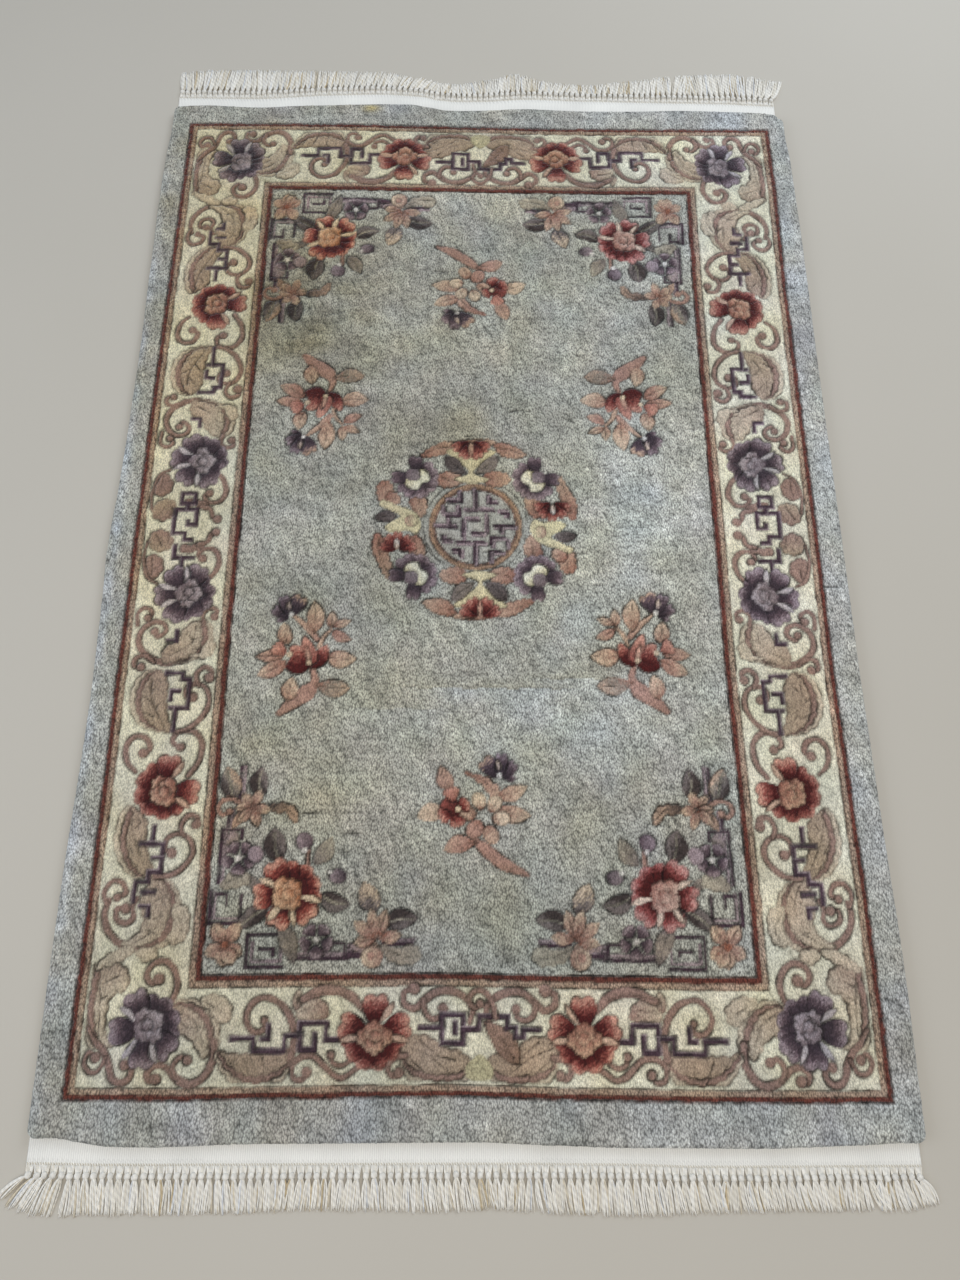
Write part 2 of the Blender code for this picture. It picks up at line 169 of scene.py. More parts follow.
def mixPaint(tree, shader, share, first, second):
    paint = addNode(tree, "ShaderNodeMix", {"data_type": "RGBA"}, {
        "Factor": share,
        "A": (*linearColour(first), 1.0),
        "B": (*linearColour(second), 1.0)})
    tree.links.new(paint.outputs["Result"], shader.inputs["Base Color"])


def addRelief(tree, shader, height, strength, depth):
    # relief too fine for the mesh
    bump = addNode(tree, "ShaderNodeBump", None,
                   {"Height": height, "Strength": strength, "Distance": depth})
    tree.links.new(bump.outputs["Normal"], shader.inputs["Normal"])


def matteFloor():
    # matt floor paint: no gloss, the faintest mottling from the roller
    material, tree, shader = newMaterial("matt_painted_floor", 0.9)
    where = addNode(tree, "ShaderNodeTexCoord").outputs["Object"]
    roller = addNode(tree, "ShaderNodeTexNoise", None,
                     {"Vector": where, "Scale": 1.4, "Detail": 3.0})
    mixPaint(tree, shader, roller.outputs["Fac"], studio["floorColour"], studio["floorMottle"])
    return material


def woolPile():
    # Knotted wool, cut, carved and washed with lime: each knot opens into a brush of fibres, so the
    # eye sees a grain of 2 to 5 mm, silky where the nap lies towards the light, dark in the shears' cuts.
    # Part of the silk is painted sheen in the colour, and the dark in the cuts and between the tufts is
    # painted shade
    material, tree, shader = newMaterial("washed_wool_pile", 0.78)
    where = addNode(tree, "ShaderNodeTexCoord").outputs["Object"]
    dye = addNode(tree, "ShaderNodeAttribute", {"attribute_name": "dye"})
    cut = addNode(tree, "ShaderNodeAttribute", {"attribute_name": "cut"})

    # knots are really 2.2 mm apart; their tufts are drawn 2.4 by 4.6 mm, so that they show, with the nap
    spread = addNode(tree, "ShaderNodeMapping", None,
                     {"Vector": where, "Rotation": (0.0, 0.0, 0.25),
                      "Scale": (1.0 / 0.0024, 1.0 / 0.0046, 1.0)})
    tufts = addNode(tree, "ShaderNodeTexVoronoi", {"voronoi_dimensions": "2D"},
                    {"Vector": spread.outputs["Vector"], "Scale": 1.0}).outputs["Distance"]
    fibres = addNode(tree, "ShaderNodeTexNoise", None,
                     {"Vector": where, "Scale": 520.0, "Detail": 2.0, "Roughness": 0.6}).outputs["Fac"]
    # the nap's lean changes in hand-wide patches, painted in as lighter and darker sheen
    napAndSheen = addNode(tree, "ShaderNodeTexNoise", None,
                  {"Vector": where, "Scale": 9.0, "Detail": 4.0, "Roughness": 0.6}).outputs["Fac"]
    # fibres swept along the rug's length in streaks 4 mm wide and 15 mm long
    sweep = addNode(tree, "ShaderNodeMapping", None,
                    {"Vector": where, "Scale": (1.0 / 0.0042, 1.0 / 0.015, 1.0)})
    streaks = addNode(tree, "ShaderNodeTexNoise", None,
                      {"Vector": sweep.outputs["Vector"], "Scale": 1.0, "Detail": 2.0}).outputs["Fac"]

    # the dye's alpha says how loosely the tufts stand: 1 in the plain ground, less where it's carved
    # painted shade: the gaps between the tufts are darkened and their middles lightened, as strongly as the
    # alpha says
    paintedTuftShade = spreadValue(tree, tufts, 0.5, -0.5, 0.12, 0.78)
    shade = multiplyAdd(tree, paintedTuftShade, dye.outputs["Alpha"], 1.0)
    # then painted sheen from the nap's patches, the streaks and fibres, and painted shade in the carved
    # grooves: the deeper the cut, the darker
    for layer in (spreadValue(tree, napAndSheen, 0.92, 1.08), spreadValue(tree, streaks, 0.9, 1.1),
                  spreadValue(tree, fibres, 0.8, 1.2),
                  spreadValue(tree, cut.outputs["Fac"], 1.0, 0.26, 0.0, 1.0)):
        shade = multiply(tree, shade, layer)
    shadeDye(tree, shader, dye, shade)
    addRelief(tree, shader, multiplyAdd(tree, tufts, -1.0, fibres), 0.8, 0.0016)
    shader.inputs["IOR"].default_value = 1.54
    shader.inputs["Specular IOR Level"].default_value = 0.25
    shader.inputs["Sheen Weight"].default_value = 0.45
    shader.inputs["Sheen Roughness"].default_value = 0.34
    shader.inputs["Sheen Tint"].default_value = (*linearColour("#DCE6EC"), 1.0)
    return material


def overcastWool():
    # woollen yarn wound tight round a cord: matt ribs, a little hairy
    material, tree, shader = newMaterial("overcast_wool_yarn", 0.88)
    where = addNode(tree, "ShaderNodeTexCoord").outputs["Object"]
    dye = addNode(tree, "ShaderNodeAttribute", {"attribute_name": "dye"})
    hairs = addNode(tree, "ShaderNodeTexNoise", None,
                    {"Vector": where, "Scale": 900.0, "Detail": 2.0}).outputs["Fac"]
    shadeDye(tree, shader, dye, spreadValue(tree, hairs, 0.8, 1.15))
    addRelief(tree, shader, hairs, 0.5, 0.0004)
    shader.inputs["Sheen Weight"].default_value = 0.2
    return material


def flatWovenCotton():
    # bleached cotton woven flat and beaten hard: matt, with ribs across the band. They're 1.5 mm
    # apart and are drawn at 3 mm, so that they show; the picks between them hardly do
    material, tree, shader = newMaterial("flat_woven_cotton", 0.9)
    where = addNode(tree, "ShaderNodeTexCoord").outputs["Object"]
    dye = addNode(tree, "ShaderNodeAttribute", {"attribute_name": "dye"})
    ribs = addNode(tree, "ShaderNodeTexWave", {"bands_direction": "X"},
                   {"Vector": where, "Scale": bandPitch / 0.003, "Distortion": 1.6,
                    "Detail": 2.0, "Detail Scale": 2.0})
    picks = addNode(tree, "ShaderNodeTexNoise", None,
                    {"Vector": where, "Scale": 480.0, "Detail": 1.0})
    weave = multiplyAdd(tree, picks.outputs["Fac"], 0.6, ribs.outputs["Fac"])
    soil = addNode(tree, "ShaderNodeTexNoise", None,
                   {"Vector": where, "Scale": 14.0, "Detail": 4.0})
    # painted shade: darker between the ribs and the picks
    shadeDye(tree, shader, dye, multiply(tree, spreadValue(tree, weave, 0.86, 1.03, 0.2, 1.3),
                                         spreadValue(tree, soil.outputs["Fac"], 0.93, 1.04)))
    addRelief(tree, shader, weave, 0.5, 0.0005)
    shader.inputs["Sheen Weight"].default_value = 0.1
    return material


def pliedCottonYarn():
    # soft plied cotton warps: matt, off-white, a loose rope-like twist about 5 mm long
    material, tree, shader = newMaterial("plied_cotton_yarn", 0.9)
    where = addNode(tree, "ShaderNodeTexCoord").outputs["Object"]
    dye = addNode(tree, "ShaderNodeAttribute", {"attribute_name": "dye"})
    twist = addNode(tree, "ShaderNodeTexWave", {"bands_direction": "DIAGONAL"},
                    {"Vector": where, "Scale": bandPitch / 0.005, "Distortion": 2.0,
                     "Detail": 1.0}).outputs["Fac"]
    # painted shade: darker in the twist's grooves
    shadeDye(tree, shader, dye, spreadValue(tree, twist, 0.88, 1.04, 0.0, 1.0))
    addRelief(tree, shader, twist, 0.5, 0.0004)
    shader.inputs["Sheen Weight"].default_value = 0.15
    return material


def knottedBack():
    # the underside: cotton warps and wefts with the backs of the wool knots in rows. They're 2.2 mm
    # apart and are drawn at 6 mm, so that they show
    material, tree, shader = newMaterial("knotted_wool_back", 0.92)
    where = addNode(tree, "ShaderNodeTexCoord").outputs["Object"]
    rows, columns = [addNode(tree, "ShaderNodeTexWave", {"bands_direction": axis},
                             {"Vector": where, "Scale": bandPitch / 0.006, "Distortion": 1.0})
                     for axis in ("Y", "X")]
    backs = multiply(tree, rows.outputs["Fac"], columns.outputs["Fac"])
    # painted shade: darker between the raised knot backs
    mixPaint(tree, shader, backs, "#6F6C62", "#A5A396")
    addRelief(tree, shader, backs, 0.6, 0.0006)
    return material


# Meshes
def addMesh(name, points, faces, material, colours=None, cuts=None, smooth=True):
    # points and faces are arrays, every face in one call has the same number of corners
    mesh = bpy.data.meshes.new(name)
    faces = np.asarray(faces, np.int32)
    corners = faces.shape[1]
    mesh.vertices.add(len(points))
    mesh.vertices.foreach_set("co", np.asarray(points, np.float32).ravel())
    mesh.loops.add(faces.size)
    mesh.loops.foreach_set("vertex_index", faces.ravel())
    mesh.polygons.add(len(faces))
    mesh.polygons.foreach_set("loop_start", np.arange(len(faces), dtype=np.int32) * corners)
    mesh.polygons.foreach_set("loop_total", np.full(len(faces), corners, np.int32))
    mesh.update(calc_edges=True)
    mesh.validate()
    mesh.polygons.foreach_set("use_smooth", np.full(len(mesh.polygons), smooth))
    # the dye attribute is each point's colour, with any painted light and shade folded in
    if colours is not None:
        dye = mesh.attributes.new("dye", "FLOAT_COLOR", "POINT")
        rgba = np.ones((len(points), 4), np.float32)
        rgba[:, :np.shape(colours)[1]] = colours
        dye.data.foreach_set("color", rgba.ravel())
    if cuts is not None:
        cut = mesh.attributes.new("cut", "FLOAT", "POINT")
        cut.data.foreach_set("value", np.asarray(cuts, np.float32).ravel())
    mesh.materials.append(material)
    piece = bpy.data.objects.new(name, mesh)
    scene.collection.objects.link(piece)
    return piece


def spreadUv(piece):
    # the pile seen from straight above, filling the texture's square
    mesh = piece.data
    flat = np.zeros(len(mesh.vertices) * 3, np.float32)
    mesh.vertices.foreach_get("co", flat)
    flat = flat.reshape(-1, 3)[:, :2]
    low, high = flat.min(0), flat.max(0)
    share = 0.002 + 0.996 * (flat - low) / (high - low)
    corner = np.zeros(len(mesh.loops), np.int32)
    mesh.loops.foreach_get("vertex_index", corner)
    layer = mesh.uv_layers.new(name="OFBake")
    layer.data.foreach_set("uv", share[corner].ravel())


def nodePoints(name):
    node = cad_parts[name]
    flat = np.zeros(len(node.data.vertices) * 3)
    node.data.vertices.foreach_get("co", flat)
    return flat.reshape(-1, 3)


# The pile's edge is read from the frame's slab; these are the slab's own heights and widths
pile = {
    "top": 14.0 * mm,
    "wave": 0.5 * mm,             # slow rise and fall of the wool's surface
    "edgeHeight": 8.8 * mm,       # where the slab is widest
    "foundationTop": 6.4 * mm,
    "overhang": 5.0 * mm,
    "cornerRadius": 11.0 * mm,
    "shoulder": 4.0 * mm,
    "carveDepth": 2.6 * mm,
    "marginStep": 3.0,            # spacing of the lines of knots, in mm
    "borderStep": 2.15,
    "fieldStep": 2.75,
}
guards = {"outer": (577.0, 864.0), "outerPath": (569.0, 857.0), "ground": (561.0, 849.0),
          "groundEnd": (418.0, 720.5), "innerPath": (409.0, 711.5), "field": (400.5, 703.0)}
# along the rug, how far the pattern's left and right sides lie off their lines, in mm
patternLean = np.array((
    (-870, 0, 0), (-600, 0, -1), (-450, 0, -4), (-250, -2, -8), (0, -3, -7),
    (200, -3, -8), (500, -2, -8), (700, -1, -5), (870, 0, -6)), float)
# across the rug, how far its near and far ends do
patternBow = np.array((
    (-577, 1, 1), (-420, 1, 2), (-250, 4, 3), (-50, 6, 0), (150, 1, -3), (350, -2, -2), (577, -2, 0)), float)


def easedAt(rows, place, column=1):
    # value of a table's column at a place, eased between its rows
    stops = rows[:, 0]
    place = np.clip(place, stops[0], stops[-1])
    i = np.clip(np.searchsorted(stops, place, side="right") - 1, 0, len(stops) - 2)
    share = (place - stops[i]) / (stops[i + 1] - stops[i])
    eased = 0.5 * (share + share * share * (3.0 - 2.0 * share))
    return rows[i, column] + eased * (rows[i + 1, column] - rows[i, column])


def pileEdges():
    # distance out to each edge of the slab, as tables by place along that edge, in metres
    ring = nodePoints("pile_rug")
    ring = ring[abs(ring[:, 2] - pile["edgeHeight"]) < 0.1 * mm][:, :2]
    corner = np.abs(ring).max(0) - 2.0 * pile["cornerRadius"]
    edges = {}
    for name, axis, sign in (("left", 0, -1), ("right", 0, 1), ("near", 1, -1), ("far", 1, 1)):
        inside = abs(ring[:, 1 - axis]) < corner[1 - axis] - 2.0 * pile["cornerRadius"] * (1 - axis)
        side = ring[(ring[:, axis] * sign > 0) & inside & (abs(ring[:, axis]) > corner[axis] - 30 * mm)]
        rows = np.column_stack((side[:, 1 - axis], abs(side[:, axis])))
        edges[name] = np.unique(rows.round(5), axis=0)
    return edges


def pileHeight(x, y):
    wave = np.sin(5.1 * x + 1.3) * np.cos(3.7 * y - 0.4) + 0.6 * np.sin(8.3 * y + 2.9 * x)
    return pile["top"] + pile["wave"] * wave / 1.6


def knotLines(outer, field):
    # lines of knots from edge to edge: margin, border, field, border, margin, in nominal mm
    border = int(round((outer - field) / pile["borderStep"]))
    inner = int(round(2.0 * field / pile["fieldStep"]))
    margin = int(round(44.0 / pile["marginStep"]))
    left = np.linspace(-outer, -field, border + 1)
    middle = np.linspace(-field, field, inner + 1)
    shares = np.linspace(1.0, 0.0, margin + 1)[:-1]
    lines = np.concatenate((-outer - shares, left, middle[1:-1], -left[::-1], outer + shares[::-1]))
    return lines, margin, border


rng = np.random.default_rng(7)
linesX, marginX, borderX = knotLines(guards["outer"][0], guards["field"][0])
linesY, marginY, borderY = knotLines(guards["outer"][1], guards["field"][1])
countX, countY = len(linesX), len(linesY)

# In the margin the lines run from 0 to 1 past the outer stripe; the pattern there is drawn in mm
marginWidth = {"x": 40.0, "y": 51.0}


def patternPlace(lines, outer, width):
    return np.where(abs(lines) > outer, np.sign(lines) * (outer + (abs(lines) - outer) * width), lines)


knotX = patternPlace(linesX, guards["outer"][0], marginWidth["x"])
knotY = patternPlace(linesY, guards["outer"][1], marginWidth["y"])
dyes = np.zeros((countY, countX, 3))
cuts = np.zeros((countY, countX))
rises = np.zeros((countY, countX))
mottle = 0.10 * rng.normal(0.0, 1.0, (countY, countX))


def softNoise(across, along, slant=0.0):
    # noise with strokes of this many knots each way, about 0 and with a spread of 1
    rough = np.fft.rfft2(rng.normal(0.0, 1.0, (countY, countX)))
    waveX, waveY = np.fft.rfftfreq(countX)[None], np.fft.fftfreq(countY)[:, None]
    fall = (waveX * across) ** 2 + ((waveY + slant * waveX) * along) ** 2
    soft = np.fft.irfft2(rough * np.exp(-2.0 * math.pi ** 2 * fall), s=(countY, countX))
    return (soft / soft.std()).clip(-2.6, 2.6)


# no figure's edge is quite true, and the shears cut deeper in one place than in the next
waver = 0.36 * softNoise(1.8, 1.8)
shears = np.clip(0.85 + 0.3 * softNoise(2.5, 2.5), 0.25, 1.3)

# Dyes, as they look on the washed wool
woolDyes = {name: np.array(linearColour(text)) for name, text in {
    "field": "#A3A297",
    "margin": "#A4A49E",
    "cream": "#D6D0B8",
    "creamPale": "#DCD7C2",
    "olive": "#B7AE8A",
    "guardRed": "#5F3228",
    "guardTan": "#9C8672",
    "scroll": "#92776A",
    "scrollBody": "#A99480",
    "scrollOlive": "#A4917A",
    "scrollDark": "#806855",
    "scrollPale": "#C2B39C",
    "fret": "#48343D",
    "mauve": "#9A888A",
    "redDark": "#481210",
    "redMid": "#884A41",
    "redLight": "#BC8C7A",
    "redEdge": "#BFA08A",
    "redHeartDark": "#8C5C4C",
    "redHeart": "#A97F69",
    "redHeartPale": "#BC9A80",
    "peachMid": "#8E473B",
    "peachLight": "#CC9A84",
    "peachEdge": "#D9C2A4",
    "peachHeartDark": "#A8704E",
    "peachHeart": "#C29676",
    "peachHeartPale": "#D2AE8C",
    "roseMid": "#8C4A46",
    "roseLight": "#BE8F87",
    "roseEdge": "#CDB8A6",
    "roseHeartDark": "#95695C",
    "roseHeart": "#B18E80",
    "roseHeartPale": "#C6A898",
    "purpleDark": "#392D33",
    "purpleMid": "#5A494E",
    "purpleLight": "#968689",
    "purplePale": "#A08E90",
    "purpleEdge": "#B4ABAA",
    "purpleHeartDark": "#6A5B5E",
    "purpleHeart": "#877A7B",
    "purpleHeartPale": "#A2979A",
    "leafDark": "#3F3532",
    "leafMid": "#716763",
    "leafGrey": "#8F8476",
    "leafPale": "#A8A08E",
    "leafPeach": "#B89C86",
    "leafPeachDark": "#9E7D6E",
    "leafPeachPale": "#C9B59C",
    "leafRose": "#AC8878",
    "leafRoseDark": "#916757",
    "lilyDark": "#8A5642",
    "white": "#D2CCC4",
    "ringTan": "#9C7F66",
    "ringDark": "#836556",
    "medallionCream": "#CABF9A",
    "medallionGround": "#A8A69B",
}.items()}


def knotsAround(path, past=5.0):
    # the knots in a box round a path and a little past it, and their places in pattern mm
    low, high = path.min(0) - past, path.max(0) + past
    i0, i1 = np.searchsorted(knotX, low[0]), np.searchsorted(knotX, high[0], side="right")
    j0, j1 = np.searchsorted(knotY, low[1]), np.searchsorted(knotY, high[1], side="right")
    x, y = np.meshgrid(knotX[i0:i1], knotY[j0:j1])
    return slice(j0, j1), slice(i0, i1), x, y


def smoothCurve(points, closed=False, steps=6):
    # a round curve through a few points
    points = np.asarray(points, float)
    count = len(points)
    if closed:
        around = np.concatenate((points[-1:], points, points[:2]))
    else:
        around = np.concatenate((2 * points[:1] - points[1:2], points, 2 * points[-1:] - points[-2:-1]))
    t = (np.arange(steps) / steps)[:, None]
    curve = []
    for k in range(count if closed else count - 1):
        a, b, c, d = around[k:k + 4]
        curve.append(0.5 * (2 * b + (c - a) * t + (2 * a - 5 * b + 4 * c - d) * t ** 2
                            + (3 * b - a - 3 * c + d) * t ** 3))
    if not closed:
        curve.append(points[-1:])
    return np.concatenate(curve)


def laid(lay, points):
    # a figure's points, put in their place on the rug
    points = np.asarray(points, float)
    return points @ lay[:2, :2].T + lay[:2, 2]


def layAt(x=0.0, y=0.0, turn=0.0, size=1.0, flip=1.0):
    # places a figure drawn about its own origin, with its top along +Y before the turn
    c, s = math.cos(math.radians(turn)) * size, math.sin(math.radians(turn)) * size
    return np.array(((c * flip, -s, x), (s * flip, c, y), (0, 0, 1)))


def sizeOf(lay):
    # how many times a placement enlarges its figure
    return math.sqrt(abs(lay[0, 0] * lay[1, 1] - lay[0, 1] * lay[1, 0]))


def nearestOn(x, y, path):
    # distance to a path, and how far along it the nearest point lies
    start, run = path[:-1], np.diff(path, axis=0)
    px, py = x[..., None] - start[:, 0], y[..., None] - start[:, 1]
    share = (px * run[:, 0] + py * run[:, 1]) / np.maximum((run * run).sum(1), 1e-9)
    share = share.clip(0.0, 1.0)
    gap = np.hypot(px - share * run[:, 0], py - share * run[:, 1])
    k = gap.argmin(-1)
    along = (k + np.take_along_axis(share, k[..., None], -1)[..., 0]) / len(run)
    return gap.min(-1), along


def insideOf(x, y, path):
    # which places lie inside a closed path
    ahead = np.roll(path, -1, axis=0)
    within = np.zeros(x.shape, bool)
    for (x0, y0), (x1, y1) in zip(path, ahead):
        if y0 == y1:
            continue
        crosses = ((y0 > y) != (y1 > y)) & (x < (x1 - x0) * (y - y0) / (y1 - y0) + x0)
        within ^= crosses
    return within


def shades(names, share):
    # dye at a share from 0 to 1 along a row of dyes
    row = np.array([woolDyes[name] for name in names])
    place = np.clip(share, 0.0, 1.0) * (len(row) - 1)
    k = np.clip(place.astype(int), 0, max(len(row) - 2, 0))
    mix = (place - k)[..., None]
    return row[k] * (1.0 - mix) + row[np.minimum(k + 1, len(row) - 1)] * mix


def tieKnots(rows, columns, depth, colour, cut, rise):
    # dyes the knots where depth, the distance inside the figure in mm, is positive, and carves its edge
    depth = depth + waver[rows, columns]
    cover = np.clip(0.5 + depth / 1.6, 0.0, 1.0)
    dyes[rows, columns] += cover[..., None] * (colour - dyes[rows, columns])
    rises[rows, columns] += cover * (rise * np.clip(depth / 6.0, 0.0, 1.0) - rises[rows, columns])
    # the groove lowers the wool, and the material paints shade into it, darker the deeper it is
    groove = cut * shears[rows, columns] * np.exp(-(depth / 1.65) ** 2)
    cuts[rows, columns] = np.maximum(cuts[rows, columns] * (1.0 - cover), groove)


def tuftBlob(lay, points, names, shade=None, cut=1.0, rise=0.5, smooth=True):
    # a filled figure; shade = (foot, tip) in the figure's own mm runs the dyes from foot to tip
    path = laid(lay, points)
    if smooth:
        path = smoothCurve(path, closed=True, steps=4)
    rows, columns, x, y = knotsAround(path)
    gap, _ = nearestOn(x, y, np.concatenate((path, path[:1])))
    depth = np.where(insideOf(x, y, path), gap, -gap)
    share = np.zeros(x.shape)
    if shade is not None:
        foot, tip = laid(lay, shade)
        run = tip - foot
        share = ((x - foot[0]) * run[0] + (y - foot[1]) * run[1]) / (run @ run)
        share += mottle[rows, columns]      # knots of neighbouring shades mix where they meet
    tieKnots(rows, columns, depth, shades(names, share), cut, rise)


def tuftLine(lay, points, widths, names, cut=1.0, rise=0.4):
    # a drawn-out figure: a line whose full width runs through widths from start to end
    path = smoothCurve(laid(lay, points), steps=5)
    scale = sizeOf(lay)
    rows, columns, x, y = knotsAround(path, max(widths) * scale + 4.0)
    gap, along = nearestOn(x, y, path)
    half = 0.5 * scale * np.interp(along, np.linspace(0, 1, len(widths)), widths)
    tieKnots(rows, columns, half - gap, shades(names, along), cut, rise)


def bar(lay, points, width, dye="fret"):
    # a plain line with square corners
    path = laid(lay, points)
    half = 0.5 * width
    rows, columns, x, y = knotsAround(path, half + 5.0)
    depth = np.full(x.shape, -99.0)
    for a, b in zip(path[:-1], path[1:]):
        middle, reach = 0.5 * (a + b), 0.5 * abs(b - a) + half
        offX, offY = abs(x - middle[0]) - reach[0], abs(y - middle[1]) - reach[1]
        outside = np.hypot(np.maximum(offX, 0), np.maximum(offY, 0))
        depth = np.maximum(depth, np.where(outside > 0, -outside, -np.maximum(offX, offY)))
    tieKnots(rows, columns, depth, woolDyes[dye], 0.8, 0.3)


def carve(lay, points, width=1.2, depth=0.8, smooth=True):
    # shears draw a vein or a fold without changing the dye; the material paints shade into the groove
    path = laid(lay, points)
    if smooth:
        path = smoothCurve(path, steps=4)
    rows, columns, x, y = knotsAround(path)
    gap, _ = nearestOn(x, y, path)
    groove = depth * shears[rows, columns] * np.exp(-((gap + waver[rows, columns]) / width) ** 2)
    cuts[rows, columns] = np.maximum(cuts[rows, columns], groove)


def roundPetal(reach, width, foot=12.0):
    # from a narrow foot to a broad rim with two shallow notches
    half, long = 0.5 * width, reach - foot
    side = ((0.5, 0.08), (0.86, 0.38), (1.0, 0.7))
    right = [(half * across, foot + long * up) for across, up in side]
    left = [(-half * across, foot + long * up) for across, up in side[::-1]]
    rim = [(0.8 * half, reach - 2.0), (0.45 * half, reach), (0.12 * half, reach - 3.0),
           (-0.32 * half, reach + 0.5), (-0.76 * half, reach - 2.5)]
    return np.array([(0.0, foot)] + right + rim + left)


def petalPoints(reach, spread):
    # a fan from the flower's heart: narrow foot, broad ruffled rim
    foot, ruffle = 0.22, 0.03
    turns = np.linspace(-1.0, 1.0, 11)
    angle = np.radians(spread) * turns
    rim = reach * (1.0 - 0.2 * turns ** 4 + ruffle * np.cos(4.5 * math.pi * turns))
    fan = np.column_stack((rim * np.sin(angle), rim * np.cos(angle)))
    return np.concatenate((fan, [(0.0, reach * foot)]))


def leafPoints(length, width, bend=0.0, fat=0.45):
    # a leaf from its foot at the origin to a pointed tip on +Y, bent to one side
    share = np.linspace(0.0, 1.0, 9)
    half = 0.5 * width * np.sin(math.pi * share ** (math.log(0.5) / math.log(fat))) ** 0.8
    half[0] = half[-1] = 0.0
    middle = bend * np.sin(math.pi * share)
    right = np.column_stack((middle + half, share * length))
    left = np.column_stack((middle - half, share * length))
    return np.concatenate((right, left[-2:0:-1]))


# Ground, guard stripes and margin
def layGround():
    x, y = abs(knotX)[None, :], abs(knotY)[:, None]
    bands = (("outer", "guardRed"), ("outerPath", "guardTan"), ("ground", "cream"),
             ("groundEnd", "guardTan"), ("innerPath", "guardRed"), ("field", "field"))
    dyes[:] = woolDyes["margin"]
    for name, inner in bands:
        halfX, halfY = guards[name]
        depth = np.minimum(halfX - x, halfY - y) + waver
        cover = np.clip(0.5 + depth / 1.4, 0.0, 1.0)[..., None]
        dyes[:] = dyes * (1.0 - cover) + woolDyes[inner] * cover
        strength = 1.0 if name in ("outer", "ground", "groundEnd", "field") else 0.35
        cuts[:] = np.maximum(cuts, strength * shears * np.exp(-(depth / 1.5) ** 2))


# Flowers and leaves. Each is drawn about its own middle or from its foot, in mm, top along +Y
petalDyes = {
    "red": ("redDark", "redDark", "redMid", "redLight"),
    "peach": ("redDark", "redDark", "peachMid", "peachLight"),
    "rose": ("redDark", "redDark", "roseMid", "roseLight"),
    "purple": ("purpleDark", "purpleDark", "purpleMid", "purpleLight"),
}
heartDyes = {
    "red": ("redHeartDark", "redHeart", "redHeartPale"),
    "peach": ("peachHeartDark", "peachHeart", "peachHeartPale"),
    "rose": ("roseHeartDark", "roseHeart", "roseHeartPale"),
    "purple": ("purpleHeartDark", "purpleHeart", "purpleHeartPale"),
}
turnedEdge = {"red": "redEdge", "peach": "peachEdge", "rose": "roseEdge", "purple": "purpleEdge"}


def disc(radius, count=14, stretch=1.0):
    turn = np.linspace(0.0, 2.0 * math.pi, count, endpoint=False)
    return np.column_stack((radius * np.cos(turn), stretch * radius * np.sin(turn)))


def scallops(radius, count, depth):
    # a round figure with count lobes along its edge, each drawn with six points
    turn = np.linspace(0.0, 2.0 * math.pi, count * 6, endpoint=False)
    reach = radius * (1.0 + depth * (2.0 * abs(np.cos(0.5 * count * turn)) - 1.0))
    return np.column_stack((reach * np.sin(turn), reach * np.cos(turn)))


def between(foot, tip):
    # a placement that runs from foot to tip, and the distance between them
    run = np.subtract(tip, foot)
    return layAt(foot[0], foot[1], math.degrees(math.atan2(-run[0], run[1]))), math.hypot(*run)


def leaf(lay, foot, tip, width, names, bend=0.0, veins=3, fat=0.45, split=False):
    # a split leaf is dark on one side of its rib and pale on the other
    spot, length = between(foot, tip)
    spot = lay @ spot
    shade = ((-0.5 * width, 0), (0.4 * width, length))
    if split:
        shade = ((-0.3 * width, 0.42 * length), (0.36 * width, 0.58 * length))
    tuftBlob(spot, leafPoints(length, width, bend, fat), names, shade, smooth=False)
    if split:
        tuftLine(spot, ((0, 0.15 * length), (0.8 * bend, 0.5 * length), (0, 0.85 * length)), (2.0, 3.0, 1.5),
                 ("leafPale",), cut=0.5, rise=0.3)
    if veins:
        carve(spot, ((0, 2), (bend * 0.8, 0.5 * length), (0, 0.88 * length)), width=1.1, depth=0.8)
    for k in range(1, veins):
        base = length * k / (veins + 0.3)
        for side in (-1, 1):
            carve(spot, ((bend * 0.7, base), (bend + side * 0.33 * width, base + 0.16 * length)),
                  width=0.9, depth=0.45, smooth=False)


def bud(lay, x, y, radius, names, cut=1.0, stretch=1.0):
    tuftBlob(lay @ layAt(x, y), disc(radius, stretch=stretch), names, ((-radius, 0), (radius, 0)),
             cut=cut, smooth=False)


def scroll(lay, points, widths, names=("scroll",), ball=0.0):
    # a drawn-out tendril, with a ball at its end where it curls in
    tuftLine(lay, points, widths, names)
    if ball:
        bud(lay, points[-1][0], points[-1][1], ball, names)


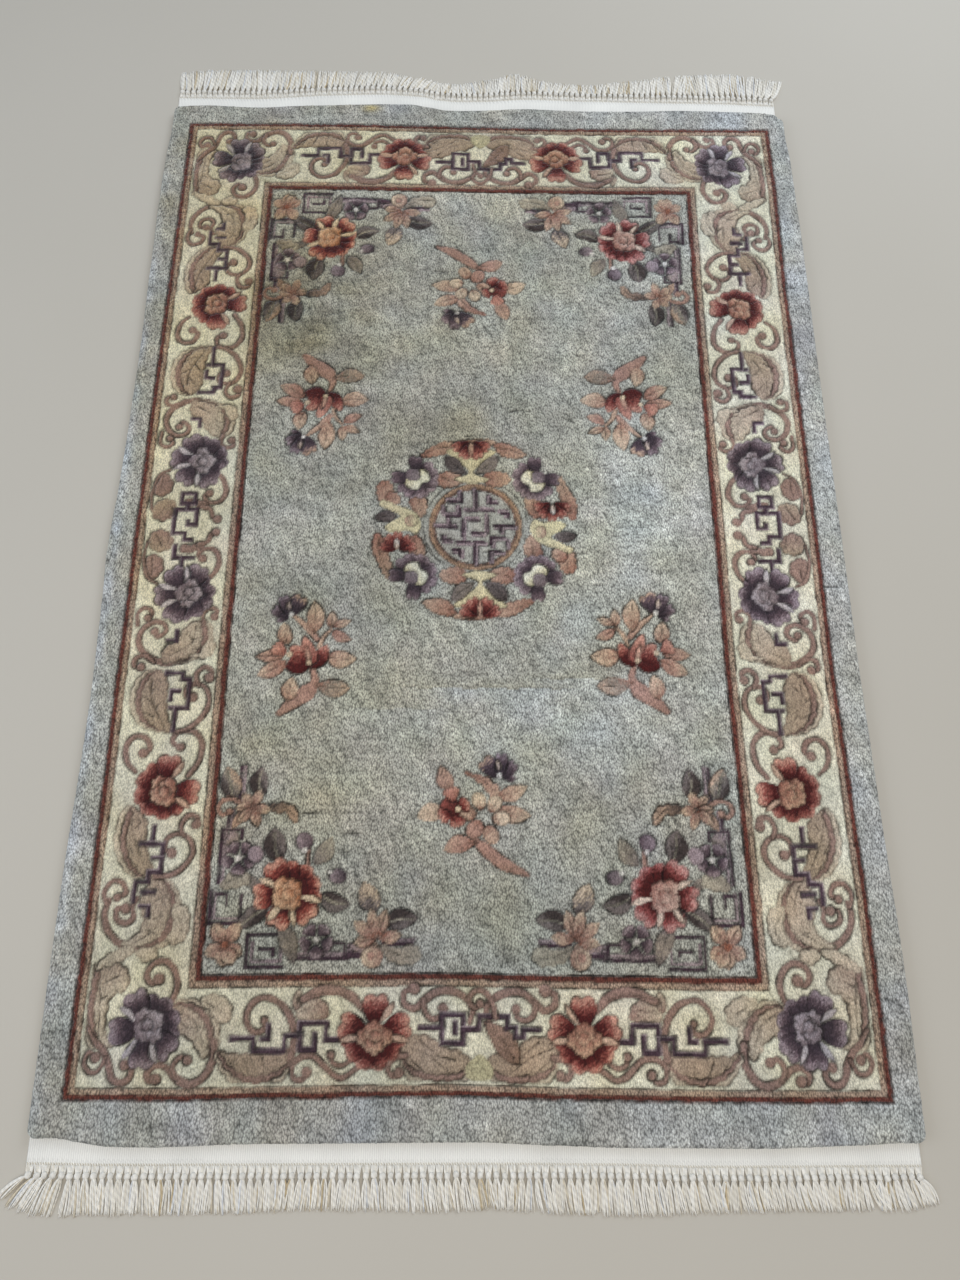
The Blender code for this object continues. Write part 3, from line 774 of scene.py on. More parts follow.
def lobe(lay, points, names=("scroll",), veins=(), frill=17.0, away=None):
    # A fleshy leaf body with a frilled edge, and veins cut in. On the side that faces away it has a dark
    # stem along its edge and a pale frill beyond that.
    points = np.asarray(points, float)
    path = smoothCurve(points, closed=True, steps=8)
    ahead, behind = np.roll(path, -1, 0), np.roll(path, 1, 0)
    along = np.cumsum(np.hypot(*(path - behind).T))
    out = np.column_stack(((ahead - behind)[:, 1], (behind - ahead)[:, 0]))
    out /= np.maximum(np.linalg.norm(out, axis=1, keepdims=True), 1e-9)
    clockwise = np.sum(path[:, 0] * ahead[:, 1] - ahead[:, 0] * path[:, 1]) < 0
    frills = max(3, round(along[-1] / frill)) if frill else 0
    swell = abs(np.sin(math.pi * frills * along / along[-1])) - 0.6 if frills else 0.0 * along
    outward = out * (-1.0 if clockwise else 1.0)
    path = path + outward * (2.4 * swell)[:, None]
    if away:
        facing = np.clip(outward @ np.array(away, float), 0.0, 1.0)[:, None]
        hem = np.minimum(path + outward * (1.0 + 8.0 * facing), (556.0, 844.0))
        tuftBlob(lay, hem, ("scrollPale",), cut=0.9, smooth=False)
        tuftBlob(lay, path, ("scroll",), rise=0.48, smooth=False)
        path = path - outward * (9.5 * facing)
    tuftBlob(lay, path, names, (points[0], points[len(points) // 2]), rise=0.6, smooth=False)
    if away:
        for k in range(0, len(path), 4):
            inward = path[k] - outward[k] * rng.uniform(9.0, 15.0)
            carve(lay, (path[k] - outward[k] * 2.0, inward), width=0.9, depth=0.3, smooth=False)
    for vein in veins:
        carve(lay, vein, width=1.2, depth=0.85)


def peony(lay, kind, free=(-74, 0, 74), edges=((-28, 1), (-104, -1), (103, 1)),
          skirt=(180, 214, 146, 243, 117), heart=13.0):
    # Joined petals make a skirt below the heart. Above it stand free petals, dark at the foot and pale
    # at the rim, each with one edge turned over; the heart is a heap of frilled lobes.
    for k, turn in enumerate(skirt):
        tuftBlob(lay @ layAt(turn=turn), roundPetal(47 - 3 * (k % 2), 40, 8.0), petalDyes[kind],
                 ((0, 22), (0, 46)), cut=0.6, rise=0.5)
    for turn in free:
        tuftBlob(lay @ layAt(turn=turn), roundPetal(53, 38), petalDyes[kind], ((0, 19), (0, 48)), rise=0.9)
        carve(lay @ layAt(turn=turn), ((2, 38), (3, 48)), width=0.9, depth=0.5, smooth=False)
    for turn, side in edges:
        leaf(lay @ layAt(turn=turn), (-2 * side, 14), (3 * side, 50), 10.0, (turnedEdge[kind],),
             bend=2.0 * side, veins=0, fat=0.6)
    for x, y, size in ((-12, -3, 0.95), (13, -4, 0.95), (1, -13, 1.0), (-1, 6, 1.0), (2, -3, 0.62)):
        spot = lay @ layAt(x, y, 0, size)
        tuftBlob(spot, scallops(heart, 6, 0.1), heartDyes[kind], ((0, 0.9 * heart), (0, -0.9 * heart)),
                 cut=0.9, rise=1.3)
    carve(lay, ((-14, 8), (-4, 2), (4, 8), (12, 5)), width=0.9, depth=0.55)


def pinks(lay, x, y, radius):
    # a small purple flower of five round petals, dark round its pale eye
    spot = lay @ layAt(x, y)
    for k in range(5):
        tuftBlob(spot @ layAt(turn=72.0 * k), petalPoints(radius, 34),
                 ("purpleDark", "purpleMid", "purplePale"), ((0, 8), (0, 0.95 * radius)))
    tuftBlob(spot, disc(0.2 * radius), ("white",), cut=0.7, rise=1.0, smooth=False)


def lily(lay, x, y, turn, reach, petals, wide):
    # pointed petals round one foot, the sideways ones shorter
    names = ("lilyDark", "leafPeachDark", "leafPeach", "leafPeachPale")
    spot = lay @ layAt(x, y, turn)
    for angle in petals:
        long = reach * (0.82 if abs(angle) > 60 else 1.0)
        leaf(spot @ layAt(turn=angle), (0, 1), (0, long), wide * reach, names, veins=1, fat=0.52)


# Scrollwork of the border. It's drawn for the far right quarter and mirrored into the others
def endScrolls(lay):
    # between the corner flower and the red flower
    lobe(lay, ((448, 746), (420, 739), (394, 748), (377, 772), (374, 800), (386, 812), (398, 800),
             (402, 792), (414, 783), (430, 778), (444, 764)), ("scrollBody", "scrollPale"),
         (((440, 752), (408, 760), (388, 796)), ((425, 750), (395, 772)), ((432, 760), (412, 772))),
         away=(-0.85, -0.5))
    lobe(lay, ((400, 738), (384, 728), (364, 733), (352, 748), (356, 766), (370, 766), (384, 752)),
         ("scrollPale",), (((392, 738), (366, 752)),))
    scroll(lay, ((374, 792), (374, 815), (385, 836), (402, 844), (421, 838), (436, 824), (452, 820),
               (463, 829), (460, 840), (451, 838)), (11, 12, 12, 10, 9, 8), ball=8.0)
    scroll(lay, ((424, 836), (429, 822), (420, 810), (409, 814)), (9, 8, 8), ball=7.0)
    lobe(lay, ((370, 803), (354, 827), (330, 842), (300, 844), (275, 833), (263, 812), (266, 801),
             (292, 807), (330, 807), (354, 806)), ("scrollOlive", "scrollBody"),
         (((352, 812), (338, 836)), ((330, 812), (318, 842)), ((304, 812), (300, 842)),
          ((284, 812), (284, 834))), away=(0.0, 1.0))
    scroll(lay, ((265, 812), (261, 788), (268, 762), (284, 742), (305, 734), (322, 740), (331, 756),
               (327, 772), (315, 780), (304, 775), (305, 765)), (12, 11, 9, 9, 9, 8), ball=6.0)
    lobe(lay, ((262, 753), (250, 738), (234, 734), (220, 741), (214, 757), (224, 767), (244, 768),
             (256, 764)), ("scrollPale", "scroll"), (((254, 752), (230, 748)),))
    leaf(lay, (262, 752), (258, 722), 15.0, ("scroll", "scrollPale"), veins=1)
    scroll(lay, ((252, 737), (228, 726), (202, 726), (180, 736), (166, 752)), (11, 15, 15, 13, 8))
    carve(lay, ((246, 733), (215, 728), (186, 735)), depth=0.6)
    # under the red flower
    scroll(lay, ((160, 822), (176, 830), (191, 839), (206, 834), (219, 822), (233, 812), (250, 812),
               (262, 823), (260, 838), (248, 841), (242, 832)), (7, 9, 10, 9, 8, 8), ball=7.5)
    scroll(lay, ((182, 818), (194, 824), (206, 820), (209, 810)), (7, 8, 8), ball=6.5)
    # between the red flower and the middle
    scroll(lay, ((14, 768), (10, 750), (22, 735), (42, 727), (62, 728), (78, 739), (92, 750),
               (107, 744), (108, 729), (94, 724)), (8, 10, 12, 12, 11, 10, 9), ball=9.0)
    scroll(lay, ((80, 740), (78, 754), (68, 764), (55, 761), (52, 750)), (9, 9, 8), ball=7.0)
    lobe(lay, ((112, 797), (90, 785), (68, 789), (50, 802), (28, 806), (12, 820), (21, 838), (44, 846),
             (76, 843), (102, 830)), ("scrollBody", "scrollOlive"),
         (((104, 800), (72, 812), (40, 836)), ((84, 792), (58, 812)), ((96, 818), (70, 838)),
          ((62, 812), (34, 818))), away=(0.0, 1.0))
    scroll(lay, ((104, 812), (120, 815), (129, 826), (122, 838), (113, 834)), (9, 9, 8), ball=7.5)


def endFrets(lay):
    fret(lay, ((348, 788), (318, 788), (318, 805), (274, 805), (274, 786), (253, 786), (253, 769),
             (216, 769), (216, 791), (194, 791)))
    fret(lay, ((252, 786), (252, 804), (232, 804), (232, 784)))
    fret(lay, ((297, 772), (297, 789), (306, 789)))


def keyLine(lay, points, aside, under=5.6, over=4.8):
    # a dark key line over a mauve one that shows along one side of it
    bar(lay, np.add(points, aside), under, "mauve")
    bar(lay, points, over)


def fret(lay, points):
    keyLine(lay, points, (1.4, -1.4), 7.6, 5.4)


def sideScrolls(lay):
    # beside the corner flower
    lobe(lay, ((554, 700), (545, 690), (529, 686), (512, 692), (503, 708), (507, 722), (521, 728),
             (528, 738), (530, 758), (527, 782), (516, 796), (534, 798), (550, 782), (557, 745)),
         ("scrollBody", "scrollPale"), (((546, 700), (540, 740), (538, 784)), ((540, 715), (518, 704)),
                                    ((541, 735), (530, 730))), away=(1.0, 0.0))
    scroll(lay, ((448, 750), (438, 735), (433, 714), (441, 694), (456, 684), (472, 689), (478, 703),
               (470, 714), (460, 708)), (7, 10, 10, 9, 8), ball=8.5)
    scroll(lay, ((553, 772), (542, 788), (527, 802), (518, 820), (511, 837), (498, 843), (487, 835),
               (487, 823), (496, 820)), (7, 10, 11, 11, 10, 9, 8), ball=7.5)
    scroll(lay, ((523, 811), (532, 827), (545, 828), (553, 816), (547, 804), (538, 810)),
           (6, 8, 8, 8), ball=7.5)
    # the shell that swings round towards the next key
    scroll(lay, ((490, 668), (520, 661), (541, 644), (550, 620), (546, 600)), (12, 11, 10, 8))
    lobe(lay, ((480, 564), (460, 578), (447, 604), (449, 638), (465, 660), (500, 670), (520, 662),
             (500, 648), (492, 630), (500, 604), (494, 582)), ("scrollBody", "scrollPale"),
         (((478, 575), (466, 606), (474, 640), (505, 662)), ((462, 592), (478, 602)),
          ((456, 620), (476, 626)), ((466, 648), (484, 642))), away=(-0.9, 0.4))
    scroll(lay, ((505, 598), (510, 610), (507, 624), (517, 633), (531, 627), (532, 613), (520, 612)),
           (8, 8, 8, 8), ball=8.0)
    scroll(lay, ((549, 606), (554, 588), (543, 573), (528, 577), (523, 590), (534, 596)),
           (7, 8, 8, 8), ball=6.5)
    lobe(lay, ((452, 610), (438, 606), (427, 615), (424, 636), (430, 656), (446, 663), (455, 655),
             (448, 636)), ("scrollPale",), (((446, 616), (434, 638), (440, 656)),))
    lobe(lay, ((498, 668), (520, 666), (546, 682), (552, 696), (530, 690), (512, 682)), ("scrollPale",))
    lobe(lay, ((498, 670), (488, 684), (472, 684), (466, 672), (478, 664)), ("scrollPale",))
    # leaf and curl between the shell and the red flower
    lobe(lay, ((532, 468), (514, 474), (502, 490), (501, 515), (492, 545), (479, 566), (502, 568),
             (524, 553), (537, 530), (541, 503)), ("scrollBody", "scrollOlive"),
         (((528, 476), (520, 510), (494, 560)), ((512, 488), (520, 498)), ((504, 515), (516, 522)),
          ((534, 512), (520, 532)), ((526, 540), (510, 552))), away=(1.0, 0.0))
    scroll(lay, ((482, 567), (458, 564), (439, 550), (430, 531), (437, 513), (455, 505), (470, 512),
               (472, 527), (461, 533)), (8, 9, 9, 8, 8, 8), ball=8.0)
    scroll(lay, ((446, 508), (451, 494), (443, 479), (429, 480), (428, 491)), (7, 9, 8), ball=8.0)
    # beyond the red flower
    scroll(lay, ((530, 412), (545, 396), (548, 373), (536, 358), (518, 361), (511, 376), (521, 384)),
           (7, 9, 9, 9, 8), ball=8.0)
    scroll(lay, ((448, 418), (434, 396), (431, 368), (446, 349), (470, 351), (476, 367), (464, 374)),
           (8, 10, 9, 8, 8), ball=7.5)
    lobe(lay, ((506, 252), (528, 258), (541, 282), (541, 311), (529, 334), (506, 347), (480, 349),
             (489, 326), (493, 300), (493, 275)), ("scrollBody", "scrollOlive"),
         (((520, 262), (516, 300), (492, 344)), ((536, 290), (518, 302)), ((534, 315), (512, 326)),
          ((502, 268), (516, 284)), ((498, 300), (510, 314))), away=(1.0, 0.0))
    scroll(lay, ((476, 350), (455, 344), (436, 328), (426, 303), (432, 281), (448, 273), (463, 281),
               (462, 295), (452, 295)), (8, 9, 9, 8, 8, 8), ball=8.0)
    scroll(lay, ((444, 276), (450, 258), (439, 246), (426, 252), (429, 263)), (7, 9, 8), ball=8.5)
    # the second shell
    scroll(lay, ((452, 226), (480, 236), (508, 238), (534, 227), (548, 206), (544, 184), (529, 171),
               (512, 173), (506, 186), (518, 196), (524, 187)), (10, 12, 11, 10, 9, 8, 8), ball=7.0)
    lobe(lay, ((506, 212), (488, 202), (478, 184), (462, 169), (446, 171), (437, 190), (440, 213),
             (456, 229), (484, 238), (506, 236)), ("scrollBody", "scrollPale"),
         (((458, 178), (462, 205), (496, 228)), ((446, 196), (462, 200)), ((452, 216), (470, 214)),
          ((474, 190), (464, 196))), away=(-1.0, 0.0))
    lobe(lay, ((440, 204), (428, 200), (423, 213), (432, 230), (452, 231), (466, 226), (450, 222)),
         ("scrollPale",))
    scroll(lay, ((520, 238), (534, 228), (549, 231), (551, 244), (540, 246)), (7, 8, 8), ball=7.5)
    scroll(lay, ((446, 172), (449, 156), (439, 146), (426, 151), (430, 161)), (7, 8, 8), ball=7.0)
    scroll(lay, ((553, 176), (554, 156), (543, 147), (532, 154), (538, 164)), (7, 8, 8), ball=7.0)
    # round the middle of the side
    scroll(lay, ((450, 99), (436, 83), (431, 62), (440, 45), (457, 42), (467, 53), (459, 60)),
           (8, 10, 9, 8, 8), ball=7.5)
    lobe(lay, ((498, 36), (478, 34), (462, 27), (456, 38), (474, 48), (494, 50)), ("scroll",))
    scroll(lay, ((468, 34), (454, 30), (449, 16), (441, 12)), (9, 9, 8), ball=8.0)
    lobe(lay, ((528, 8), (549, 14), (553, 34), (538, 48), (516, 43), (511, 25)),
         ("scroll", "scrollOlive"), (((540, 18), (528, 40)), ((522, 16), (518, 36))))
    lobe(lay, ((550, 54), (556, 76), (546, 96), (530, 92), (522, 75), (530, 57)), ("scroll",),
         (((542, 60), (540, 90)),))
    scroll(lay, ((554, 30), (557, 60), (548, 92), (530, 104)), (5, 6, 6, 5))


def sideFrets(lay):
    fret(lay, ((490, 496), (490, 521)))
    fret(lay, ((507, 521), (474, 521), (474, 561), (491, 561), (491, 576), (509, 576), (509, 602)))
    fret(lay, ((474, 541), (487, 541)))
    fret(lay, ((497, 590), (481, 590)))
    fret(lay, ((498, 610), (486, 610), (486, 623)))
    fret(lay, ((495, 257), (470, 257), (470, 266), (458, 266), (458, 313), (485, 313)))
    fret(lay, ((477, 313), (477, 348)))
    fret(lay, ((486, 300), (486, 286), (473, 286)))
    fret(lay, ((501, 203), (487, 203), (487, 188)))


def middleKeys():
    # the frets over the borders' middles run on and aren't mirrored
    for sideX in (-1, 1):
        lay = np.diag((sideX, 1.0, 1.0))
        fret(lay, ((489, 9), (489, 2), (475, 2), (475, 30), (512, 30), (512, -13), (492, -13),
                   (492, -25), (481, -25)))
        fret(lay, ((492, 30), (492, 41), (503, 41), (503, 60), (481, 60), (481, 41), (492, 41)))
        fret(lay, ((506, -37), (506, -57), (474, -57)))
        fret(lay, ((492, -57), (492, -78)))
    for sideY in (-1, 1):
        lay = np.diag((1.0, sideY, 1.0))
        leaf(lay, (2, 764), (56, 822), 34.0, ("scroll", "scrollDark"), bend=5.0, fat=0.6)
        fret(lay, ((-86, 777), (-54, 777), (-54, 760), (-24, 760), (-24, 797), (-54, 797), (-54, 777)))
        fret(lay, ((-36, 770), (-36, 784)))
        fret(lay, ((-24, 778), (-2, 778), (-2, 761), (38, 761), (38, 775), (50, 775), (50, 787),
                   (61, 787), (61, 777), (84, 777)))
        scroll(lay, ((23, 762), (19, 744), (8, 728), (-7, 727), (-15, 739), (-7, 749), (1, 743)),
               (7, 9, 9, 8, 7), ball=6.5)
        tuftBlob(lay, ((-6, 812), (6, 812), (20, 830), (14, 842), (-14, 842), (-20, 830)), ("olive",),
                 cut=0.3, rise=0.2)


def cornerSpray(lay):
    # key lines round the corner of the field, dark with a mauve line along their inner side
    keyLine(lay, ((275, 682), (191, 682)), (0, -6))
    keyLine(lay, ((196, 664), (196, 680)), (-6, 0))
    bar(lay, ((215, 661), (197, 661)), 4.6)
    keyLine(lay, ((190, 679), (170, 675)), (0, -5))
    keyLine(lay, ((141, 663), (98, 663)), (0, -6))
    keyLine(lay, ((388, 496), (388, 576)), (-6, 0))
    bar(lay, ((388, 499), (358, 499), (358, 512)), 4.6)
    keyLine(lay, ((366, 404), (366, 470)), (-6, 0))
    keyLine(lay, ((380, 470), (380, 495)), (-5, 0))
    bar(lay, ((338, 649), (338, 693), (286, 693)), 4.8)
    bar(lay, ((331, 660), (331, 686), (292, 686)), 5.2, "mauve")
    bar(lay, ((337, 649), (294, 649)), 4.6)
    bar(lay, ((288, 686), (288, 658)), 4.6, "mauve")
    bar(lay, ((319, 669), (300, 669), (300, 676)), 4.6)
    bar(lay, ((397, 587), (397, 633), (349, 633)), 4.8)
    bar(lay, ((390, 590), (390, 626), (356, 626)), 5.2, "mauve")
    bar(lay, ((352, 632), (352, 593)), 4.6)
    bar(lay, ((388, 592), (373, 592), (373, 608)), 4.6)
    # leaves round the peony
    darks, greys = ("leafDark", "leafDark", "leafMid", "leafMid"), ("leafMid", "leafGrey")
    leaf(lay, (300, 548), (310, 496), 36.0, darks, bend=-3.0, fat=0.5, split=True)
    carve(lay, ((300, 540), (299, 512)), width=1.0, depth=0.6)
    leaf(lay, (238, 594), (190, 608), 29.0, darks, bend=5.0, fat=0.45, split=True)
    leaf(lay, (308, 608), (358, 642), 27.0, darks, bend=2.0, split=True)
    leaf(lay, (322, 586), (352, 564), 15.0, greys)
    leaf(lay, (248, 550), (221, 509), 27.0, ("leafMid", "leafGrey", "leafPale"), bend=4.0)
    leaf(lay, (292, 632), (268, 690), 27.0, ("leafMid", "leafGrey", "leafMid"), bend=-2.0)
    leaf(lay, (152, 619), (173, 575), 33.0, ("leafDark", "leafMid", "leafPeachPale", "leafPeachPale"),
         bend=-2.0)
    leaf(lay, (142, 634), (90, 627), 31.0, darks, bend=-3.0, split=True)
    lobe(lay, ((146, 664), (120, 668), (96, 664), (84, 676), (92, 690), (112, 692), (134, 684)),
         ("leafGrey", "leafPale"), (((142, 668), (112, 680), (92, 680)),))
    lobe(lay, ((190, 664), (172, 658), (154, 660), (146, 668), (160, 675), (180, 672)),
         ("mauve", "leafPeach"))
    bud(lay, 156, 681, 16.0, ("leafPeachDark", "leafPeachPale"))
    bud(lay, 158, 679, 6.0, ("leafRose",), cut=0.7)
    lily(lay, 149, 656, 180.0, reach=44.0, petals=(-81, 98, 55, -16, 16), wide=0.44)
    pinks(lay, 238, 657, 25.0)
    # up the side
    lobe(lay, ((384, 584), (378, 568), (362, 558), (346, 562), (340, 574), (352, 582), (368, 586)),
         ("leafGrey", "leafPale"), (((378, 578), (360, 568), (348, 570)),))
    lobe(lay, ((380, 504), (366, 502), (362, 520), (368, 534), (380, 530)), ("mauve", "leafGrey"))
    pinks(lay, 360, 540, 25.0)
    bud(lay, 336, 535, 13.0, ("purplePale", "purpleLight"))
    leaf(lay, (333, 452), (335, 403), 31.0, darks, bend=-5.0, split=True)
    leaf(lay, (375, 455), (389, 403), 33.0, ("leafDark", "leafMid", "leafGrey", "leafPeach"),
         veins=2, split=True)
    lobe(lay, ((322, 462), (300, 458), (280, 466), (274, 486), (284, 488), (294, 476), (312, 474)),
         ("leafDark", "leafPeach"), (((318, 465), (296, 466), (280, 480)),))
    leaf(lay, (356, 468), (375, 498), 16.0, ("leafPeachDark", "leafPeach"), veins=1)
    scroll(lay, ((360, 462), (376, 454), (392, 456), (398, 468), (390, 477), (380, 472)), (8, 8, 8, 7),
           ("leafPeachDark",), ball=6.0)
    lily(lay, 344, 465, 12.0, reach=33.0, petals=(-150, 148, -98, 66, -55, 4), wide=0.5)
    lily(lay, 371, 663, 180.0, reach=37.0, petals=(-118, 116, 180, -152, -34, 34), wide=0.62)
    bud(lay, 371, 662, 6.0, ("lilyDark",), cut=0.6)
    # buds on their stems
    scroll(lay, ((257, 552), (257, 530)), (7, 7), ("leafPeachDark",))
    bud(lay, 264, 516, 13.5, ("purpleMid", "purpleLight"))
    bud(lay, 262, 530, 4.5, ("white",), cut=0.5)
    bud(lay, 211, 567, 14.0, ("purpleDark", "purpleLight"), stretch=0.8)
    bud(lay, 223, 561, 4.5, ("white",), cut=0.5)


def cornerPeony(lay, kind):
    peony(lay, kind, free=(-85, -147, 150, 86), edges=((-112, 1), (-168, -1), (122, 1), (-58, -1)),
          skirt=(0, 38, -34, 62, -58), heart=14.0)


def bloom(lay, x, y):
    # two dark lobes either side of a pale pistil, lit petals standing up out of them
    spot = lay @ layAt(x, y)
    reds = ("redDark", "redDark", "redMid", "redLight")
    tuftBlob(spot @ layAt(-26, 6, 62), petalPoints(34, 30), ("redMid", "redLight"), ((0, 4), (0, 32)))
    tuftBlob(spot, ((-34, -16), (-14, -26), (2, -18), (8, -2), (0, 12), (-18, 24), (-30, 20), (-26, 4)),
             reds, ((-10, -20), (-22, 22)), rise=0.9)
    tuftBlob(spot, ((4, -10), (14, -16), (30, -8), (36, 8), (32, 24), (20, 18), (10, 8)), reds,
             ((16, -10), (28, 24)), rise=0.9)
    tuftBlob(spot, ((-8, 38), (2, 34), (14, 16), (18, -2), (8, -8), (-2, 4), (-10, 20)),
             ("redMid", "redLight"), ((8, -8), (-6, 36)), rise=0.9)
    leaf(spot, (6, -8), (-2, 22), 8.0, ("redEdge", "redLight"), veins=0)
    bud(spot, 4, -6, 4.5, ("peachEdge",), cut=0.6)
    bud(spot, -28, 8, 5.0, ("leafPeachPale",), cut=0.5)


def purpleBud(lay, x, y, turn=0.0):
    # four petals fan out of one foot, the outermost rosy
    spot = lay @ layAt(x, y - 16, turn, 0.92)
    for angle, long, wide, rim in ((104, 25, 17, "purpleLight"), (66, 36, 22, "purpleLight"),
                                   (-24, 43, 33, "leafPeach"), (24, 42, 23, "purpleLight")):
        tuftBlob(spot @ layAt(turn=angle), roundPetal(long, wide, 3.0),
                 ("purpleDark", "purpleDark", "purpleMid", rim),
                 ((0, 0.25 * long), (0, 0.95 * long)), rise=0.8)
    leaf(spot, (-3, 10), (-5, 30), 9.0, ("purplePale", "leafPeachPale"), veins=0)
    bud(spot, 1, 4, 4.5, ("white",), cut=0.6)


def fieldSpray(lay):
    # bloom in the middle, leaves round it, a flared stem down to the side and a purple bud above
    pale, rosy = ("leafRoseDark", "leafPeach", "leafPeachPale"), ("leafRoseDark", "leafRose", "leafPeach")
    scroll(lay, ((-24, 72), (4, 48), (14, 34)), (6, 14, 10), ("leafPeach", "leafRose"))
    scroll(lay, ((36, 50), (24, 36), (18, 20)), (6, 8, 7), ("leafPeach",))
    leaf(lay, (10, 42), (7, 100), 30.0, pale, bend=2.0, fat=0.5)
    leaf(lay, (36, 52), (38, 82), 18.0, pale, veins=1)
    leaf(lay, (39, 55), (69, 66), 15.0, pale, veins=1)
    leaf(lay, (37, 48), (71, 32), 19.0, rosy, bend=3.0, veins=1)
    leaf(lay, (30, 4), (81, 1), 31.0, pale, bend=3.0)
    leaf(lay, (-32, 24), (-40, 62), 26.0, pale, bend=-3.0)
    leaf(lay, (-33, 12), (-84, 4), 24.0, rosy, bend=-3.0)
    leaf(lay, (-32, -4), (-78, -28), 27.0, ("leafRoseDark", "leafRose", "leafPeachPale"), bend=-2.0)
    scroll(lay, ((10, -16), (15, -36), (4, -54), (-18, -70), (-38, -88)), (9, 13, 28, 24, 11),
           ("leafRose", "leafPeachDark"))
    leaf(lay, (14, -42), (72, -48), 31.0, ("leafRoseDark", "leafGrey", "leafPeach"), bend=3.0, fat=0.55)
    leaf(lay, (-26, -70), (-20, -28), 27.0, pale, bend=-2.0)
    bloom(lay, 0, 0)
    purpleBud(lay, -31, 88)


def endSpray(lay):
    # a looser spray: bloom to one side, a heap of small round leaves, the stem away to the other side
    pale, rosy = ("leafRoseDark", "leafPeach", "leafPeachPale"), ("leafRoseDark", "leafRose", "leafPeach")
    lobe(lay, ((-24, 52), (-6, 50), (14, 44), (30, 30), (34, 14), (20, 12), (10, 26), (-6, 40)),
         rosy, (((-16, 50), (8, 38), (26, 18)),))
    leaf(lay, (28, 14), (76, 32), 25.0, pale, bend=3.0)
    leaf(lay, (26, -4), (80, -14), 27.0, pale, bend=3.0)
    leaf(lay, (-42, 22), (-60, 62), 27.0, ("leafPeachDark", "leafPeach"), bend=-2.0)
    leaf(lay, (-52, -6), (-96, -18), 29.0, ("leafPeach", "leafPeachPale"), bend=3.0)
    scroll(lay, ((-8, -50), (12, -66), (36, -84), (72, -100)), (10, 20, 21, 8),
           ("leafRose", "leafPeachDark"))
    leaf(lay, (-2, -54), (-54, -66), 27.0, ("leafRoseDark", "leafRose", "leafPeach"), bend=4.0, fat=0.55)
    for x, y, radius, tone in ((0, 8, 14, "leafPeachPale"), (24, 4, 14, "leafPeachPale"),
                               (-18, -10, 15, "leafPeach"), (-6, -34, 16, "leafRose"),
                               (18, -42, 15, "leafPeach"), (34, -18, 14, "leafPeachPale")):
        small = lay @ layAt(x, y, math.degrees(math.atan2(8 - x, y + 18)))
        tuftBlob(small, disc(0.8 * radius, stretch=1.25), ("leafRoseDark", tone, tone),
                 ((0, -1.2 * radius), (0, radius)), smooth=False)
        carve(small, ((0, -0.8 * radius), (1.5, 0), (0, 0.7 * radius)), width=0.9, depth=0.6)
    spot = lay @ layAt(-38, -2)
    tuftBlob(spot @ layAt(-6, -1), disc(17.0), ("redMid", "redDark"), ((-16, 4), (8, -8)), rise=0.7)
    reds = ("redDark", "redDark", "redMid", "redLight")
    tuftBlob(spot @ layAt(0, 0, 12), petalPoints(32, 30), ("redMid", "redLight"), ((0, 4), (0, 30)))
    for turn in (196, 118, -62):
        tuftBlob(spot @ layAt(0, -4, turn), petalPoints(26, 36), reds, ((0, 2), (0, 25)))
    bud(spot, 6, -2, 4.5, ("peachEdge",), cut=0.6)
    purpleBud(lay @ layAt(34, 60, flip=-1.0), 0, 0, -20)


def pansy(lay):
    # skirt of pale-rimmed petals towards the medallion's middle, dark free petals outside, a cream heart
    rims = ("purpleDark", "purpleMid", "purplePale")
    for turn in (180, 138, -138, 100, -100):
        tuftBlob(lay @ layAt(turn=turn), roundPetal(39, 33, 4.0), rims, ((0, 15), (0, 38)),
                 cut=0.6, rise=0.6)
    for turn in (44, -44):
        tuftBlob(lay @ layAt(turn=turn), roundPetal(43, 25, 8.0), rims, ((0, 24), (0, 46)), rise=0.9)
    tuftBlob(lay, ((-21, 5), (-22, -7), (-13, -18), (1, -15), (12, -20), (22, -8), (18, 6), (5, 3), (-8, 9)),
             ("medallionCream", "creamPale"), ((0, 8), (0, -12)), rise=1.2)
    tuftBlob(lay @ layAt(1, 7), scallops(12, 4, 0.08), ("purpleHeartDark", "purpleHeart"),
             ((0, 10), (0, -10)), cut=0.7, rise=1.5)


def fan(lay, turns, reach, wide):
    # red petals joined side by side, dark where they start
    for turn in turns:
        tuftBlob(lay @ layAt(turn=turn), roundPetal(reach, wide, 3.0),
                 ("redDark", "redDark", "redMid", "redLight"), ((0, 5), (0, reach)), cut=0.8, rise=0.9)


